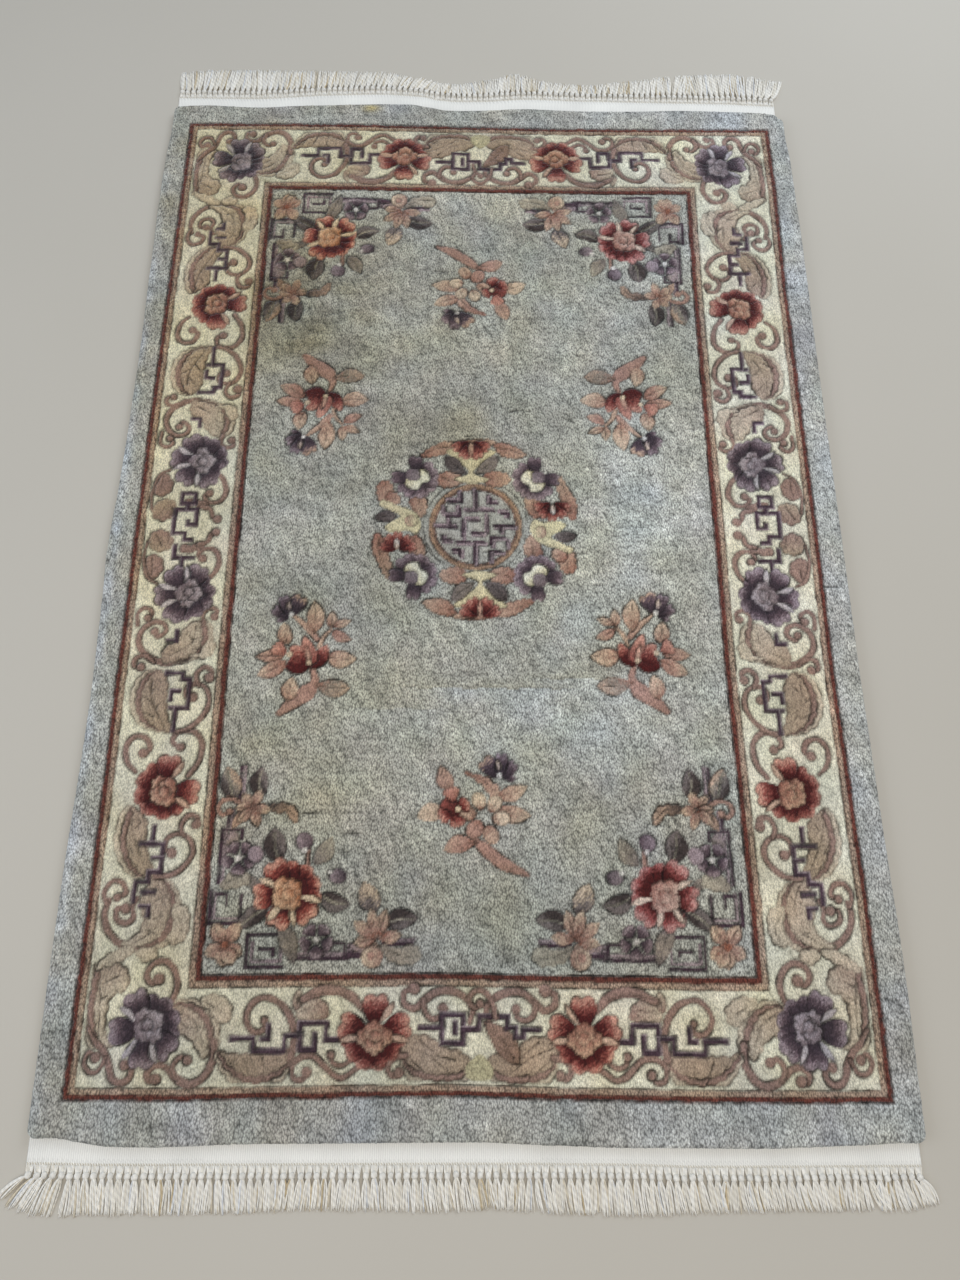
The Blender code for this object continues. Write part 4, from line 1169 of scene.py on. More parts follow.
def medallionHalf(lay):
    # the top and the left of the medallion; turned by half a turn it makes the rest
    for points, vein in (
            (((-98, 132), (-80, 148), (-56, 160), (-34, 158), (-38, 142), (-62, 133), (-80, 129)),
             ((-88, 136), (-64, 147), (-42, 150))),
            (((30, 159), (54, 158), (76, 148), (88, 134), (70, 128), (46, 132), (36, 142)),
             ((40, 148), (62, 144), (80, 136))),
            (((-40, 156), (-18, 164), (18, 165), (38, 158), (10, 150), (-16, 150)), ()),
            (((-66, 96), (-48, 104), (-26, 98), (-18, 86), (-34, 75), (-54, 72), (-68, 82)),
             ((-58, 92), (-42, 84), (-30, 90))),
            (((14, 96), (32, 104), (54, 98), (60, 84), (44, 74), (26, 74), (14, 84)),
             ((24, 88), (38, 90), (50, 84))),
            (((-114, 52), (-100, 60), (-84, 52), (-82, 30), (-92, 16), (-106, 26)), ((-98, 52), (-94, 28))),
            (((-166, 80), (-150, 84), (-140, 70), (-140, 50), (-150, 38), (-164, 44), (-170, 62)),
             ((-154, 78), (-152, 50))),
            (((-150, 62), (-134, 62), (-128, 46), (-142, 34), (-156, 42)), ()),
            (((-168, -12), (-174, -38), (-166, -62), (-152, -88), (-142, -96), (-136, -80), (-144, -56),
              (-146, -34), (-154, -20)), ((-162, -24), (-160, -52), (-146, -84))),
            (((-114, -22), (-98, -16), (-86, -34), (-84, -56), (-100, -58), (-116, -42)),
             ((-102, -26), (-98, -48)))):
        lobe(lay, points, ("leafRoseDark", "leafPeach"), frill=12.0)
        if vein:
            carve(lay, vein, width=1.2, depth=0.9)
    # the pale hourglass over the top, red petals at its rim, a leaf on each side
    tuftBlob(lay, ((-12, 100), (-26, 118), (-52, 140), (-36, 146), (-4, 146), (30, 144), (34, 138),
                   (10, 118), (-4, 100), (22, 88), (4, 80), (-14, 80), (-36, 88)),
             ("medallionCream",), cut=0.8)
    fan(lay @ layAt(-8, 159), (112, 248, 154, 206), 35, 22)
    leaf(lay, (-8, 160), (-8, 130), 9.0, ("redEdge", "redLight"), veins=0)
    leaf(lay, (-16, 99), (-54, 133), 27.0, ("leafMid", "leafDark"), bend=-3.0, fat=0.55)
    leaf(lay, (0, 100), (40, 133), 25.0, ("leafGrey", "leafMid"), bend=3.0, fat=0.55)
    # the pale wing at the left, its dark leaf, a pale bud and a red flower under it
    tuftBlob(lay, ((-158, 48), (-164, 38), (-146, 30), (-128, 18), (-146, 6), (-154, -4), (-138, -12),
                   (-116, -8), (-100, -14), (-92, 2), (-98, 20), (-114, 32), (-134, 38)),
             ("medallionCream",), cut=0.8)
    leaf(lay, (-132, 18), (-172, 14), 22.0, ("leafMid", "leafDark"), bend=2.0, fat=0.5)
    bud(lay, -109, 10, 11.0, ("leafRose", "medallionCream"), cut=0.9)
    fan(lay @ layAt(-131, -43), (76, -76, 40, -40, 0), 33, 18)
    leaf(lay, (-131, -42), (-133, -22), 9.0, ("redEdge", "white"), veins=0)
    pansy(lay @ layAt(-103, 90, 45))
    pansy(lay @ layAt(-102, -88, 135))


def medallion():
    spot = layAt(-4, 1)
    for radius, name in ((88, "field"), (79, "ringTan"), (71, "ringDark"), (67.5, "medallionGround")):
        tuftBlob(spot, disc(radius, 48), (name,), cut=0.8, rise=0.2, smooth=False)
    for turn in (0, 180):
        half = spot @ layAt(turn=turn)
        medallionHalf(half)
        # half of a lattice of short bars that turn at right angles and never cross
        for points in (((-44, 45), (-24, 45)), ((-24, 60), (-24, 45)), ((2, 64), (2, 28), (-14, 28)),
                       ((10, 28), (32, 28)), ((26, 52), (26, 42), (38, 42)), ((-52, 34), (-52, 22)),
                       ((-48, 19), (-26, 19), (-26, 32)), ((-64, -2), (-32, -2)), ((22, 18), (22, -12)),
                       ((-12, 11), (6, 11)), ((-42, 0), (-42, 8)), ((44, 24), (56, 24), (56, 16))):
            keyLine(half, points, (-3.8, 3.8), 7.2, 4.6)


def drawPattern():
    layGround()
    quarters = [np.diag((sideX, sideY, 1.0)) for sideX in (-1, 1) for sideY in (-1, 1)]
    for quarter in quarters:
        endScrolls(quarter)
        sideScrolls(quarter)
        endFrets(quarter)
        sideFrets(quarter)
        # the sprays on the right lie nearer the middle, and their peonies are rosier
        spray = quarter @ layAt(-9.0 if quarter[0, 0] > 0 else 0.0)
        cornerSpray(spray)
        cornerPeony(spray @ layAt(282, 590, 128), "rose" if quarter[0, 0] > 0 else "peach")
    middleKeys()
    for quarter in quarters:
        peony(quarter @ layAt(471, 772, -52), "purple", free=(-100, -31, 49, 102),
              edges=((-68, 1), (12, -1), (78, 1)))
        peony(quarter @ layAt(149, 784, 180), "red")
        peony(quarter @ layAt(481, 439, 127), "red", free=(50, -42), edges=((27, 1), (-76, -1)),
              skirt=(180, 218, 142, 256, 104, 285))
        peony(quarter @ layAt(480, 121, -96), "purple", free=(-106, -48, 12, 71),
              edges=((-76, 1), (-16, -1), (42, 1)))
    medallion()
    fieldSpray(layAt(-275, -232))
    fieldSpray(layAt(263, -226, flip=-1.0))
    fieldSpray(layAt(-275, 244, 180, flip=-1.0))
    fieldSpray(layAt(262, 246, 180))
    endSpray(layAt(0, -464))
    endSpray(layAt(-8, 474, 180))


# Knots to mesh
def layKnots(edges):
    # where every knot stands: the pattern's lean inside the stripes, stretched to the edges outside
    outerX, outerY = guards["outer"]
    shoulder = pile["shoulder"]
    u, v = np.meshgrid(linesX, linesY)
    shareX = np.clip(abs(u) - outerX, 0.0, 1.0)
    shareY = np.clip(abs(v) - outerY, 0.0, 1.0)
    baseX, baseY = np.clip(u, -outerX, outerX), np.clip(v, -outerY, outerY)
    leanLeft = easedAt(patternLean, baseY, 1)
    leanRight = easedAt(patternLean, baseY, 2)
    across = (baseX + outerX) / (2.0 * outerX)
    innerX = (baseX + leanLeft + across * (leanRight - leanLeft)) * mm
    x = innerX
    bow = np.where(v < 0, easedAt(patternBow, baseX, 1), easedAt(patternBow, baseX, 2))
    innerY = (baseY + bow * (baseY / outerY) ** 2) * mm
    y = innerY
    for _ in range(2):      # each side's place depends a little on the other's
        sideX = np.where(u < 0, easedAt(edges["left"], y), easedAt(edges["right"], y)) - shoulder
        sideY = np.where(v < 0, easedAt(edges["near"], x), easedAt(edges["far"], x)) - shoulder
        x = innerX + shareX * (np.sign(u) * sideX - innerX)
        y = innerY + shareY * (np.sign(v) * sideY - innerY)
    # round the corners off
    radius = pile["cornerRadius"] - shoulder
    pastX, pastY = abs(x) - (sideX - radius), abs(y) - (sideY - radius)
    corner = (pastX > 0) & (pastY > 0)
    pull = np.where(corner, np.maximum(pastX, pastY) / np.maximum(np.hypot(pastX, pastY), 1e-9), 1.0)
    x = np.where(corner, np.sign(x) * (sideX - radius + pastX * pull), x)
    y = np.where(corner, np.sign(y) * (sideY - radius + pastY * pull), y)
    return x, y


# How the washed nap lies, with its sheen painted into the knots' colour: where it leans to the window it is
# painted pale and cool, elsewhere dull
napAndSheen = {
    "sheenAndStains": (
        # painted sheen where the nap leans to the window, painted shade where it leans away, the left edge
        # painted as lit by the window, and last a small yellow stain: place, half widths in mm, how much
        # lighter, how much cooler
        (250, 420, 150, 150, 0.07, 0.6), (310, 40, 120, 190, 0.27, 0.9), (40, 330, 150, 90, 0.03, 0.2),
        (130, -320, 230, 80, 0.15, 0.7), (-60, 620, 260, 60, 0.05, 0.2), (60, -530, 180, 70, 0.05, 0.3),
        (-300, 60, 90, 170, 0.05, 0.3), (-330, 440, 140, 190, -0.24, -1.8),
        (-40, 185, 150, 45, -0.17, -0.6), (-300, -420, 150, 130, 0.0, -0.8),
        (-60, -670, 330, 70, -0.15, 0.1), (200, 170, 120, 60, -0.06, 0.0),
        (570, 220, 110, 480, 0.14, 0.4), (270, -280, 150, 150, 0.05, 0.2),
        (-560, -600, 120, 300, 0.05, 0.2), (-100, -880, 560, 60, -0.09, 0.3),
        (-420, 720, 280, 180, -0.09, -1.2), (470, 640, 140, 220, 0.06, 0.6),
        (-400, -740, 200, 120, -0.09, 0.1), (-560, 450, 110, 420, 0.06, -0.8),
        (360, 440, 70, 60, -0.10, -0.6), (-612, 0, 10, 860, 0.18, 1.8),
        (-530, 0, 60, 260, 0.07, -0.2), (-222, 908, 18, 9, -0.02, -5.0)),
    # places where the wool stands open along a row of knots: from, to, row
    "openings": ((-230, -180, -534), (-210, -180, -506), (-268, -178, -475), (-20, 26, 172), (56, 93, 222),
                 (583, 608, -750), (572, 600, 487), (574, 600, 172), (578, 602, -104)),
    "fine": 0.11,
    "strokes": 0.14,           # tufts that lean together, a little aslant
    "coolMottle": 0.4,         # the dye took unevenly: bluer or yellower, rosier or greener by turns
    "rosyMottle": 0.007,
    # where the nap turns over along a row, painted as sheen on the near side and shade beyond: place and
    # half width in mm, how much lighter, how much cooler
    "sheenFolds": ((20, -278, 120, 0.19, 1.3), (150, -262, 60, 0.12, 1.0), (-130, -312, 70, 0.09, 0.6)),
    "glints": 0.5,             # single tufts that catch the window
    "rows": 0.07,
    # painted sheen in hand-wide patches
    "hands": 0.045,            # hand-wide patches
    "partings": 46,            # places where the pile opens along a row of knots
}


def brushNapAndSheen(x, y, loose):
    # tone for each knot, with painted sheen, and how far its wool stands above or below its neighbours, in
    # mm
    fine, strokes, rows = softNoise(0.5, 0.5), softNoise(0.5, 2.0, -0.45), softNoise(3.5, 0.6)
    # painted sheen: lighter towards the right, nearer the window, and in hand-wide patches; also cooler
    # towards the right
    light = 1.0 + 0.06 * x / 0.6 + napAndSheen["hands"] * softNoise(14.0, 8.0) + 0.03 * softNoise(60.0, 16.0)
    cool = 0.1 * softNoise(40.0, 30.0) + x / 0.6 * 0.35 + napAndSheen["coolMottle"] * softNoise(7.0, 8.0)
    rosy = napAndSheen["rosyMottle"] * softNoise(6.0, 7.0)
    for spotX, spotY, halfX, halfY, lighter, cooler in napAndSheen["sheenAndStains"]:
        reach = np.exp(-((x / mm - spotX) / halfX) ** 2 - ((y / mm - spotY) / halfY) ** 2)
        reach = reach * (1.0 + 0.3 * softNoise(8.0, 4.0))
        light += lighter * reach
        cool += cooler * reach
    # painted sheen on the near side of each turn of the nap, painted shade beyond it
    for foldX, foldY, halfX, lighter, cooler in napAndSheen["sheenFolds"]:
        below = foldY - y / mm + 1.5 * np.sin(0.09 * x / mm)
        reach = np.where(below > 0.0, np.exp(-below / 45.0), -0.8 * np.exp(below / 30.0))
        reach = reach * np.exp(-((x / mm - foldX) / halfX) ** 4)
        light += lighter * reach
        cool += cooler * reach
    glints = np.clip(softNoise(0.7, 1.3) - 1.25, 0.0, 0.8) * np.clip(4.0 * (light - 0.92), 0.2, 1.0)
    grain = napAndSheen["fine"] * fine + napAndSheen["strokes"] * strokes + napAndSheen["rows"] * rows + napAndSheen["glints"] * glints
    tone = light * (1.0 + loose * grain)
    tint = np.stack((1.0 - 0.03 * cool + rosy, 1.0 - 0.6 * rosy, 1.0 + 0.075 * cool + 0.6 * rosy), -1)
    stand = loose * (0.36 * fine + 0.30 * strokes + 0.2 * rows)
    return tone[..., None] * tint, stand * mm


def looseness():
    # the border and every carved figure are sheared closer than the plain wool
    x, y = abs(knotX)[None, :], abs(knotY)[:, None]
    border = (np.minimum(guards["ground"][0] - x, guards["ground"][1] - y) > 0) \
        & (np.minimum(guards["groundEnd"][0] - x, guards["groundEnd"][1] - y) < 0)
    return 1.0 - 0.5 * np.maximum(border, np.clip(rises * 5.0, 0.0, 1.0))


def partPile():
    # fine openings along the rows of knots, mostly in the plain field, darkened with painted shade
    for low, high, y in napAndSheen["openings"]:
        path = ((low, y), (0.5 * (low + high), y + 1.5), (high, y - 0.5))
        carve(np.identity(3), path, width=1.3, depth=1.0)
    for _ in range(napAndSheen["partings"]):
        x = rng.uniform(-370.0, 330.0)
        y = 52.0 * round(rng.uniform(-12.0, 12.0)) + rng.normal(0.0, 5.0)
        long = rng.uniform(14.0, 75.0)
        path = [(x + long * s, y + rng.normal(0.0, 1.1)) for s in (0.0, 0.25, 0.5, 0.75, 1.0)]
        carve(np.identity(3), path, width=0.9, depth=rng.uniform(0.3, 0.75))


def tiePile(places, material):
    x, y = places
    loose = looseness()
    tone, stand = brushNapAndSheen(x, y, loose)
    sway = rng.uniform(-0.3, 0.3, (2, countY, countX)) * mm
    z = pileHeight(x, y) - pile["carveDepth"] * cuts + rises * mm + stand
    inner = np.zeros((countY, countX))
    inner[1:-1, 1:-1] = 1.0
    points = np.stack((x + sway[0] * inner, y + sway[1] * inner, z), axis=-1)
    colours = np.concatenate((np.clip(dyes * tone, 0.0, 1.0), loose[..., None]), -1)

    edgeX, edgeY = marginX + borderX, marginY + borderY
    lastX, lastY = countX - 1, countY - 1
    fieldRows = np.linspace(edgeY, lastY - edgeY, 4).astype(int)
    parts = [("pile_border_near", 0, edgeY, 0, lastX), ("pile_border_far", lastY - edgeY, lastY, 0, lastX),
             ("pile_border_left", edgeY, lastY - edgeY, 0, edgeX),
             ("pile_border_right", edgeY, lastY - edgeY, lastX - edgeX, lastX)]
    for name, low, high in zip(("near", "middle", "far"), fieldRows[:-1], fieldRows[1:]):
        parts.append(("pile_field_" + name, low, high, edgeX, lastX - edgeX))
    pieces = []
    for name, j0, j1, i0, i1 in parts:
        rows, columns = slice(j0, j1 + 1), slice(i0, i1 + 1)
        wide = i1 - i0 + 1
        index = np.arange((j1 - j0 + 1) * wide).reshape(j1 - j0 + 1, wide)
        faces = np.stack((index[:-1, :-1], index[:-1, 1:], index[1:, 1:], index[1:, :-1]), -1)
        piece = addMesh(name, points[rows, columns].reshape(-1, 3), faces.reshape(-1, 4), material,
                        colours[rows, columns].reshape(-1, 4), cuts[rows, columns].ravel())
        spreadUv(piece)
        pieces.append(piece)
    pieces.append(tieRim(points, colours, material))
    return pieces


def tieRim(points, colours, material):
    # the cut wool's outer wall: from the top's edge over the shoulder and in under the overhang
    lastX, lastY = countX - 1, countY - 1
    loop = np.array([(0, i) for i in range(lastX)] + [(j, lastX) for j in range(lastY)]
                    + [(lastY, i) for i in range(lastX, 0, -1)] + [(j, 0) for j in range(lastY, 0, -1)])
    ring = points[loop[:, 0], loop[:, 1]]
    hue = colours[loop[:, 0], loop[:, 1], :3]
    along = np.roll(ring, -1, 0)[:, :2] - np.roll(ring, 1, 0)[:, :2]
    for _ in range(3):
        along = along + 0.5 * (np.roll(along, 1, 0) + np.roll(along, -1, 0))
    along /= np.linalg.norm(along, axis=1)[:, None]
    out = np.column_stack((along[:, 1], -along[:, 0]))
    # out from the top's edge, height above the floor
    steps = ((1.7, 13.0), (3.1, 11.6), (4.0, 9.9), (4.1, 8.2), (3.2, 6.5), (-1.0, 6.5))
    rings, hues = [ring], [hue]
    for k, (reach, height) in enumerate(steps):
        fuzz = rng.normal(0.0, 0.28, (len(ring), 1)) if 0 < k < 4 else 0.0
        place = ring.copy()
        place[:, :2] += out * (reach + fuzz) * mm
        place[:, 2] = height * mm
        rings.append(place)
        # painted shade: each ring further down the wall and in under the overhang is darker
        hues.append(hue * (1.02 - 0.06 * k) * (1.0 + 0.08 * rng.normal(0.0, 1.0, (len(ring), 1))))
    count = len(ring)
    index = np.arange(len(rings) * count).reshape(len(rings), count)
    ahead = np.roll(index, -1, axis=1)
    faces = np.stack((index[:-1], index[1:], ahead[1:], ahead[:-1]), -1)
    return addMesh("pile_rim", np.concatenate(rings), faces.reshape(-1, 4), material,
                   np.clip(np.concatenate(hues), 0, 1), np.zeros(len(rings) * count))


def loft(sections):
    # skins each row of closed sections and caps both ends; sections is (pieces, rings, sides, xyz)
    pieces, rings, sides = sections.shape[:3]
    index = np.arange(pieces * rings * sides).reshape(pieces, rings, sides)
    ahead = np.roll(index, -1, axis=2)
    skin = np.stack((index[:, :-1], ahead[:, :-1], ahead[:, 1:], index[:, 1:]), -1).reshape(-1, 4)
    caps = []
    for k in range(sides // 2 - 1):
        corner = (k, k + 1, sides - 2 - k, sides - 1 - k)
        caps += [index[:, 0][:, corner[::-1]], index[:, -1][:, corner]]
    return sections.reshape(-1, 3), np.concatenate([skin] + caps)


def tubes(paths, radii, sides=4):
    # round sections along many paths at once: paths (pieces, rings, xyz), radii (pieces, rings)
    ahead = np.gradient(paths, axis=1)
    ahead /= np.maximum(np.linalg.norm(ahead, axis=2, keepdims=True), 1e-9)
    across = np.cross(ahead, (0.0, 0.0, 1.0))
    across /= np.maximum(np.linalg.norm(across, axis=2, keepdims=True), 1e-9)
    over = np.cross(across, ahead)
    turn = 2.0 * math.pi * (np.arange(sides) + 0.5) / sides
    circle = (across[:, :, None] * np.cos(turn)[:, None] + over[:, :, None] * np.sin(turn)[:, None])
    return loft(paths[:, :, None] + circle * radii[:, :, None, None])


# The foundation under the wool, and the overcast cords along it
def weaveFoundation(knotPlaces, material):
    x, y = knotPlaces
    rows = np.unique(np.linspace(0, countY - 1, 60).astype(int))
    columns = np.unique(np.linspace(0, countX - 1, 40).astype(int))
    inset = pile["overhang"] - pile["shoulder"]
    x, y = x[np.ix_(rows, columns)].copy(), y[np.ix_(rows, columns)].copy()
    x[:, 0] += inset
    x[:, -1] -= inset
    y[0] += inset
    y[-1] -= inset
    low = np.stack((x, y, np.zeros_like(x)), -1).reshape(-1, 3)
    high = low + (0.0, 0.0, pile["foundationTop"] - 0.2 * mm)
    index = np.arange(x.size).reshape(x.shape)
    top = index + x.size
    quads = [np.stack((top[:-1, :-1], top[:-1, 1:], top[1:, 1:], top[1:, :-1]), -1),
             np.stack((index[:-1, :-1], index[1:, :-1], index[1:, 1:], index[:-1, 1:]), -1)]
    rim = np.concatenate((index[0, :-1], index[:-1, -1], index[-1, :0:-1], index[:0:-1, 0]))
    ahead = np.roll(rim, -1)
    quads.append(np.stack((rim, ahead, ahead + x.size, rim + x.size), -1))
    faces = np.concatenate([quad.reshape(-1, 4) for quad in quads])
    return addMesh("woven_foundation", np.concatenate((low, high)), faces, material, smooth=False)


cord = {
    "radius": 3.0 * mm,
    "inset": 1.7 * mm,        # centre line, in from the wool's edge
    "wrap": 5.0 * mm,         # real wraps are 2.5 mm apart, drawn twice as coarse
    "wrapDepth": 0.35 * mm,
    "sides": 8,
    "colour": "#A9AEB4",
}


def overcastCord(side, edge, sign, material):
    low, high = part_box("side_cord_" + side)
    count = int((high.y - low.y) / (0.3 * cord["wrap"]))
    y = np.linspace(low.y, high.y, count)
    x = sign * (easedAt(edge, y) - cord["inset"])
    sides = cord["sides"]
    turn = 2.0 * math.pi * (np.arange(sides) + 0.5) / sides
    phase = 2.0 * math.pi * y[:, None] / cord["wrap"] + turn
    radius = cord["radius"] - cord["wrapDepth"] * (0.5 - 0.5 * np.cos(phase))
    section = np.stack((x[:, None] - radius * np.cos(turn), np.repeat(y[:, None], sides, 1),
                        cord["radius"] + radius * np.sin(turn)), -1)
    points, faces = loft(section[None])
    # painted shade: the yarn is darker where the wraps dip between each other
    tone = (0.72 + 0.28 * (0.5 + 0.5 * np.cos(phase))).reshape(-1, 1)
    colours = np.array(linearColour(cord["colour"])) * tone
    return addMesh("overcast_" + side, points, faces, material, colours)


# End bands: one flat-woven strip across each end, sewn down beside the fringe
band = {
    "thickness": 2.5 * mm,
    "step": 2.2 * mm,
    "ribs": 0.12 * mm,        # relief of the weave
    "twill": 8.0 * mm,        # the outer edge is woven as a twill this wide
    "twillPitch": 3.4 * mm,
    "stitch": 3.6 * mm,       # spacing of the seam's stitches
    "seamInset": 2.2 * mm,    # in from the band's outer edge
    "lastRib": 24.0 * mm,     # from the last point of the strip's outer line to the strip's end
    "colour": "#F7F6F0",
    "seamColour": "#D3CBB9",
}


def bandLine(end):
    # the band's outer line, as a table by place across the rug, from the frame's strip
    points = nodePoints("end_band_" + end)[:, :2]
    distance = abs(points[:, 1])
    outer = points[distance > distance.min() + 0.55 * (distance.max() - distance.min())]
    rows = np.unique(np.column_stack((outer[:, 0], abs(outer[:, 1]))).round(5), axis=0)
    rows[-1, 0] += band["lastRib"]
    return rows


def weaveBand(end, sign, edge, line, material):
    width = line[-1, 0] - line[0, 0]
    count = int(width / band["step"])
    share = np.linspace(0.0, 1.0, count)
    along = line[0, 0] + share * width
    outerY = easedAt(line, along)
    innerY = easedAt(edge, along) - pile["overhang"] + 0.4 * mm
    top, drop = band["thickness"], 0.35 * mm
    # across the band: share of its width and height, top side from the pile outwards, then back
    acrossTop = [(s, top) for s in np.linspace(0.0, 0.97, 14)]
    profile = np.array(acrossTop + [(0.995, top - drop), (1.0, 0.5 * top), (0.995, 0.1 * mm), (0.97, 0.0)]
                       + [(s, 0.0) for s in np.linspace(0.75, 0.0, 4)])
    across, height = profile[:, 0], profile[:, 1]
    x = along[:, None] + 0.0 * across
    y = innerY[:, None] + across * (outerY - innerY)[:, None]
    z = np.repeat(height[None], count, 0)
    face = height > 0.6 * top
    inTwill = outerY[:, None] - y < band["twill"]
    twill = np.sin(2.0 * math.pi * (x + 0.9 * y) / band["twillPitch"]) * inTwill
    plain = rng.uniform(-1.0, 1.0, (count, 1)) * ~inTwill
    pucker = 0.35 * mm * np.sin(x * 41.0 + 2.0) * np.sin(x * 17.3) * across
    z = np.where(face, z - 0.2 * mm + 2.0 * band["ribs"] * twill + band["ribs"] * plain + 0.3 * pucker, z)
    # the far band is a mirrored one, so its sections run the other way round
    points, faces = loft(np.stack((x, sign * y, z), -1)[None, :, ::-sign])
    # painted light and shade: lighter on the twill's raised ridges, darker in its dips; the twill edge is
    # also 5% darker all over
    tone = (1.0 + 0.10 * twill - 0.05 * inTwill)[:, ::-sign]
    colours = np.array(linearColour(band["colour"])) * tone.reshape(-1, 1)
    return addMesh("woven_band_" + end, points, faces, material, np.clip(colours, 0, 1))


def sewSeam(end, sign, line, material):
    # slanting stitches along the band's outer edge
    width = line[-1, 0] - line[0, 0]
    count = int(width / band["stitch"])
    rootX = line[0, 0] + (np.arange(count) + 0.5) * width / count
    share = np.linspace(-0.5, 0.5, 4)
    x = rootX[:, None] + share * 2.0 * mm
    y = (easedAt(line, rootX) - band["seamInset"])[:, None] + share * 3.0 * mm
    z = np.full(x.shape, band["thickness"] + 0.15 * mm)
    radii = np.full(x.shape, 0.25 * mm)
    radii[:, 1:-1] = 0.55 * mm
    points, faces = tubes(np.stack((x, sign * y, z), -1), radii, 4)
    colours = np.repeat([linearColour(band["seamColour"])], len(points), 0)
    return addMesh("seam_" + end, points, faces, material, colours)


# Fringe: warps gathered into a row of knots, with a tassel of plied yarns hanging from each
fringe = {
    "tassels": 110,
    "knotDrop": 11.5 * mm,     # from the band's line to the knots
    "knotRadius": 4.7 * mm,
    "knotHalf": 4.2 * mm,      # half a knot's length
    "squash": 0.75,            # share of their height that the knots keep, pressed flat on the floor
    "warps": 5,
    "warpRadius": 1.4 * mm,
    "warpUnder": 1.0 * mm,     # how far the warps start inside the band's edge
    "yarns": 9,
    "yarnRadius": 1.5 * mm,
    "rings": 8,
    "fan": 7.0 * mm,           # half width of a tassel at its tip
    "belly": 3.6 * mm,         # and just below its knot
    # how far neighbouring tassels swing together, and how much their yarns curl
    "clump": {"near": 3.4 * mm, "far": 5.5 * mm},
    "curl": {"near": 1.0 * mm, "far": 1.7 * mm},
    "hues": (("#F7F4EC", 0.55), ("#ECE7DB", 0.30), ("#DDD3BE", 0.09), ("#CDBB98", 0.03), ("#E4E6E8", 0.03)),
}
# tips of the tassels in mm: place along the end, reach from the rug's middle, sideways lean
tips = {
    "near": np.array(((-618, 980, -32), (-600, 996, -27), (-580, 1004, -19), (-555, 1005, -8),
                      (-510, 1004, 3), (-330, 1002, 4), (-230, 998, -2), (-80, 1001, 4), (20, 998, 7),
                      (120, 1003, 2), (200, 1006, 8), (330, 1002, 5), (450, 1000, 6), (570, 1000, 7),
                      (610, 992, 16)), float) * mm,
    "far": np.array(((-611, 1010, -3), (-560, 1018, 3), (-350, 1019, 6), (-210, 1018, 4), (-150, 1004, 8),
                     (-90, 990, 4), (-40, 987, -3), (20, 1002, 3), (65, 1018, 2), (140, 994, -4),
                     (210, 988, 3), (300, 1001, 6), (400, 1018, 5), (520, 1023, 6),
                     (594, 1004, 20)), float) * mm,
}


def yarnColours(count, corners, kinds=5):
    # one colour for each yarn from the first kinds, picked by how often it shows
    hues, odds = zip(*fringe["hues"][:kinds])
    palette = np.array([linearColour(hue) for hue in hues])
    picked = palette[rng.choice(kinds, size=count, p=np.array(odds) / sum(odds))]
    picked = picked * rng.uniform(0.9, 1.05, (count, 1))
    return np.clip(np.repeat(picked, corners, axis=0), 0, 1)


def drawWarps(end, sign, root, tie, pitch, material):
    # warps drawn together from the band's edge into each knot
    warps, rings = fringe["warps"], 4
    side = (np.arange(warps) - 0.5 * (warps - 1)) / warps
    share = np.linspace(0.0, 1.0, rings)
    start = root - [[0.0], [fringe["warpUnder"]]]
    run = tie - start
    x = start[0][:, None, None] + side[:, None] * pitch * (1.0 - 0.4 * share ** 1.5)
    x = x + run[0][:, None, None] * share
    y = start[1][:, None, None] + run[1][:, None, None] * share + 0.0 * x
    z = (1.5 + 0.9 * share) * mm + 0.0 * x
    paths = np.stack((x, sign * y, z), -1).reshape(-1, rings, 3)
    points, faces = tubes(paths, np.full(paths.shape[:2], fringe["warpRadius"]), 4)
    return addMesh("warps_" + end, points, faces, material, yarnColours(len(paths), rings * 4, 2))


def tieFringe(end, sign, tie, material):
    # a knot is a short fat twist
    count = tie.shape[1]
    girth = np.array((0.5, 0.92, 1.0, 0.92, 0.5)) * fringe["knotRadius"]
    share = np.linspace(-1.0, 1.0, len(girth))
    x = tie[0][:, None] + share * 0.5 * mm * rng.normal(0.0, 1.0, (count, 1))
    y = tie[1][:, None] + share * fringe["knotHalf"]
    paths = np.stack((x, sign * y, np.zeros(x.shape)), -1)
    points, faces = tubes(paths, girth * rng.uniform(0.88, 1.08, (count, 1)), 6)
    points[:, 2] = 0.2 * mm + fringe["squash"] * (points[:, 2] - points[:, 2].min())
    hue = np.array(linearColour(fringe["hues"][0][0])) * rng.uniform(0.84, 0.97, (count, 1))
    return addMesh("knots_" + end, points, faces, material, np.repeat(hue, len(girth) * 6, axis=0))


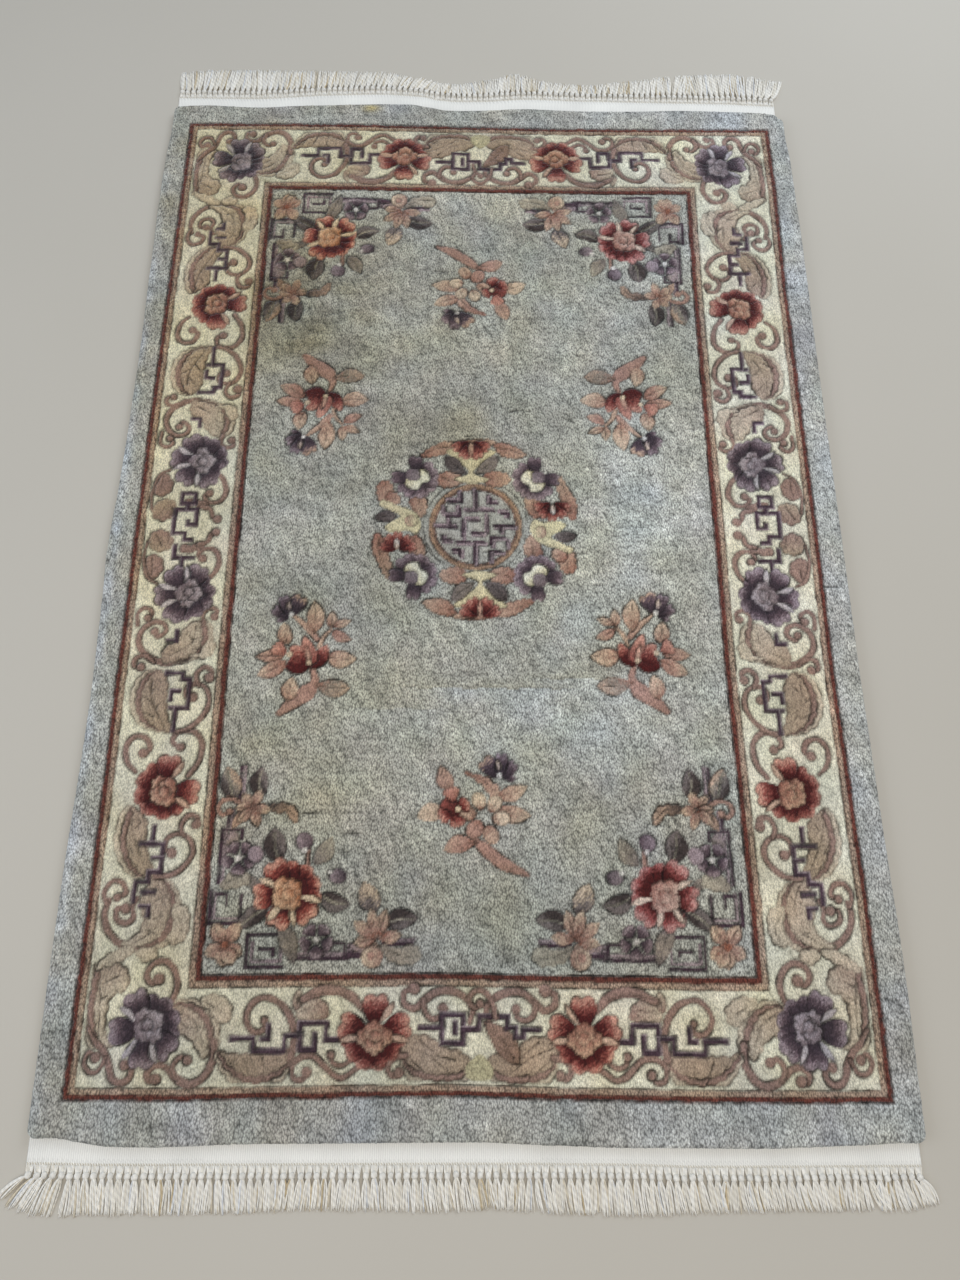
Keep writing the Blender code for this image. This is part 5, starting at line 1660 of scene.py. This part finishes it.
def hangTassels(end, sign, root, tie, material):
    # the yarns of each tassel fan out of its knot and lie down on the floor
    count, yarns, rings = root.shape[1], fringe["yarns"], fringe["rings"]
    clump = fringe["clump"][end]
    reach, lean = easedAt(tips[end], root[0], 1), easedAt(tips[end], root[0], 2)
    share = np.linspace(0.0, 1.0, rings)
    tassel = np.repeat(np.arange(count), yarns)
    strand = np.tile(np.arange(yarns), count)
    fan = (strand - 0.5 * (yarns - 1)) / (0.5 * yarns)
    total = len(tassel)

    # tassels swing in groups of about three
    group = np.cumsum(rng.uniform(0, 1, count) < 0.34)
    groupLean = rng.normal(0.0, 1.0, group.max() + 1)[group] * clump
    tipX = lean + 0.8 * groupLean + rng.normal(0.0, 0.25 * clump, count)
    tipX = tipX[tassel] + fan * fringe["fan"] + rng.normal(0.0, 1.3, total) * mm
    long = (reach - tie[1])[tassel] + rng.uniform(-4.0, 1.8, total) * mm
    belly = fan * fringe["belly"] + rng.normal(0.0, 0.5, total) * mm
    wave = rng.uniform(0.0, 2.0 * math.pi, total)[:, None]
    swing = rng.uniform(0.3, 1.0, total)[:, None] * fringe["curl"][end]
    spread = np.sin(0.5 * math.pi * np.minimum(share * 3.0, 1.0)) * (1.0 - share ** 3)
    # the outermost tassels swing out at once, then hang down
    bendOut = np.where(abs(lean) > 12.0 * mm, 0.75, 1.4)[tassel][:, None]
    x = (tie[0][tassel][:, None] + tipX[:, None] * share ** bendOut + belly[:, None] * spread
         + swing * np.sin(wave + 5.2 * share) * share)
    y = tie[1][tassel][:, None] + long[:, None] * share + 0.5 * swing * np.cos(wave + 6.0 * share) * share

    # yarns lie over each other in layers, and come down from the knot to the floor
    layer = (strand % 2)[:, None] + 0.4 * ((strand // 2) % 2)[:, None]
    z = 2.4 * mm * (1.0 - share) ** 1.6 + (0.95 + 1.25 * layer * (1.0 - 0.55 * share)) * mm
    z = z + 0.35 * mm * np.sin(wave + 4.0 * share)
    radius = fringe["yarnRadius"] * (1.0 - 0.35 * share ** 4) * rng.uniform(0.85, 1.1, (total, 1))
    z = np.maximum(z, radius * 0.85 + 0.1 * mm)
    points, faces = tubes(np.stack((x, sign * y, z), -1), radius, 4)
    return addMesh("tassels_" + end, points, faces, material, yarnColours(total, rings * 4))


def knotFringe(end, sign, line, material):
    count = fringe["tassels"]
    pitch = (line[-1, 0] - line[0, 0]) / count
    rootX = line[0, 0] + (np.arange(count) + 0.5) * pitch
    root = np.stack((rootX, easedAt(line, rootX)))
    tieX = root[0] + rng.normal(0.0, 0.35, count) * mm
    tieY = root[1] + fringe["knotDrop"] + rng.normal(0.0, 0.5, count) * mm
    tie = np.stack((tieX, tieY))
    warps = drawWarps(end, sign, root, tie, pitch, material)
    knots = tieFringe(end, sign, tie, material)
    return [hangTassels(end, sign, root, tie, material), knots, warps]


def main():
    setCamera()
    setStudio()
    corners = np.array(((-1, -1, 0), (1, -1, 0), (1, 1, 0), (-1, 1, 0)))
    floor = addMesh("floor", corners * studio["floorHalf"], [(0, 1, 2, 3)], matteFloor())
    print("scene: camera, lights and floor")

    drawPattern()
    partPile()
    print("scene: pattern dyed and carved")
    edges = pileEdges()
    places = layKnots(edges)
    wool = tiePile(places, woolPile())
    foundation = weaveFoundation(places, knottedBack())
    yarn = overcastWool()
    cords = []
    for piece in wool + [foundation]:
        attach(piece, "root")
    for side, sign in (("left", -1), ("right", 1)):
        piece = overcastCord(side, edges[side], sign, yarn)
        cords.append(piece)
        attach(piece, "root")
        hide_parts("side_cord_" + side)
    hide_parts("pile_rug")
    print("scene: pile, foundation and side cords")

    cloth, cotton = flatWovenCotton(), pliedCottonYarn()
    pieces = wool + [foundation] + cords
    for end, sign in (("near", -1), ("far", 1)):
        line = bandLine(end)
        strip = weaveBand(end, sign, edges[end], line, cloth)
        seam = sewSeam(end, sign, line, cotton)
        yarns = knotFringe(end, sign, line, cotton)
        for piece in (strip, seam, *yarns):
            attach(piece, "root")
            pieces.append(piece)
        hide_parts("end_band_" + end)
        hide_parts("fringe_" + end)
    triangles = 2 * sum(len(piece.data.polygons) for piece in pieces)     # every face has four corners
    print("scene: end bands and fringes,", triangles, "triangles in all")


main()
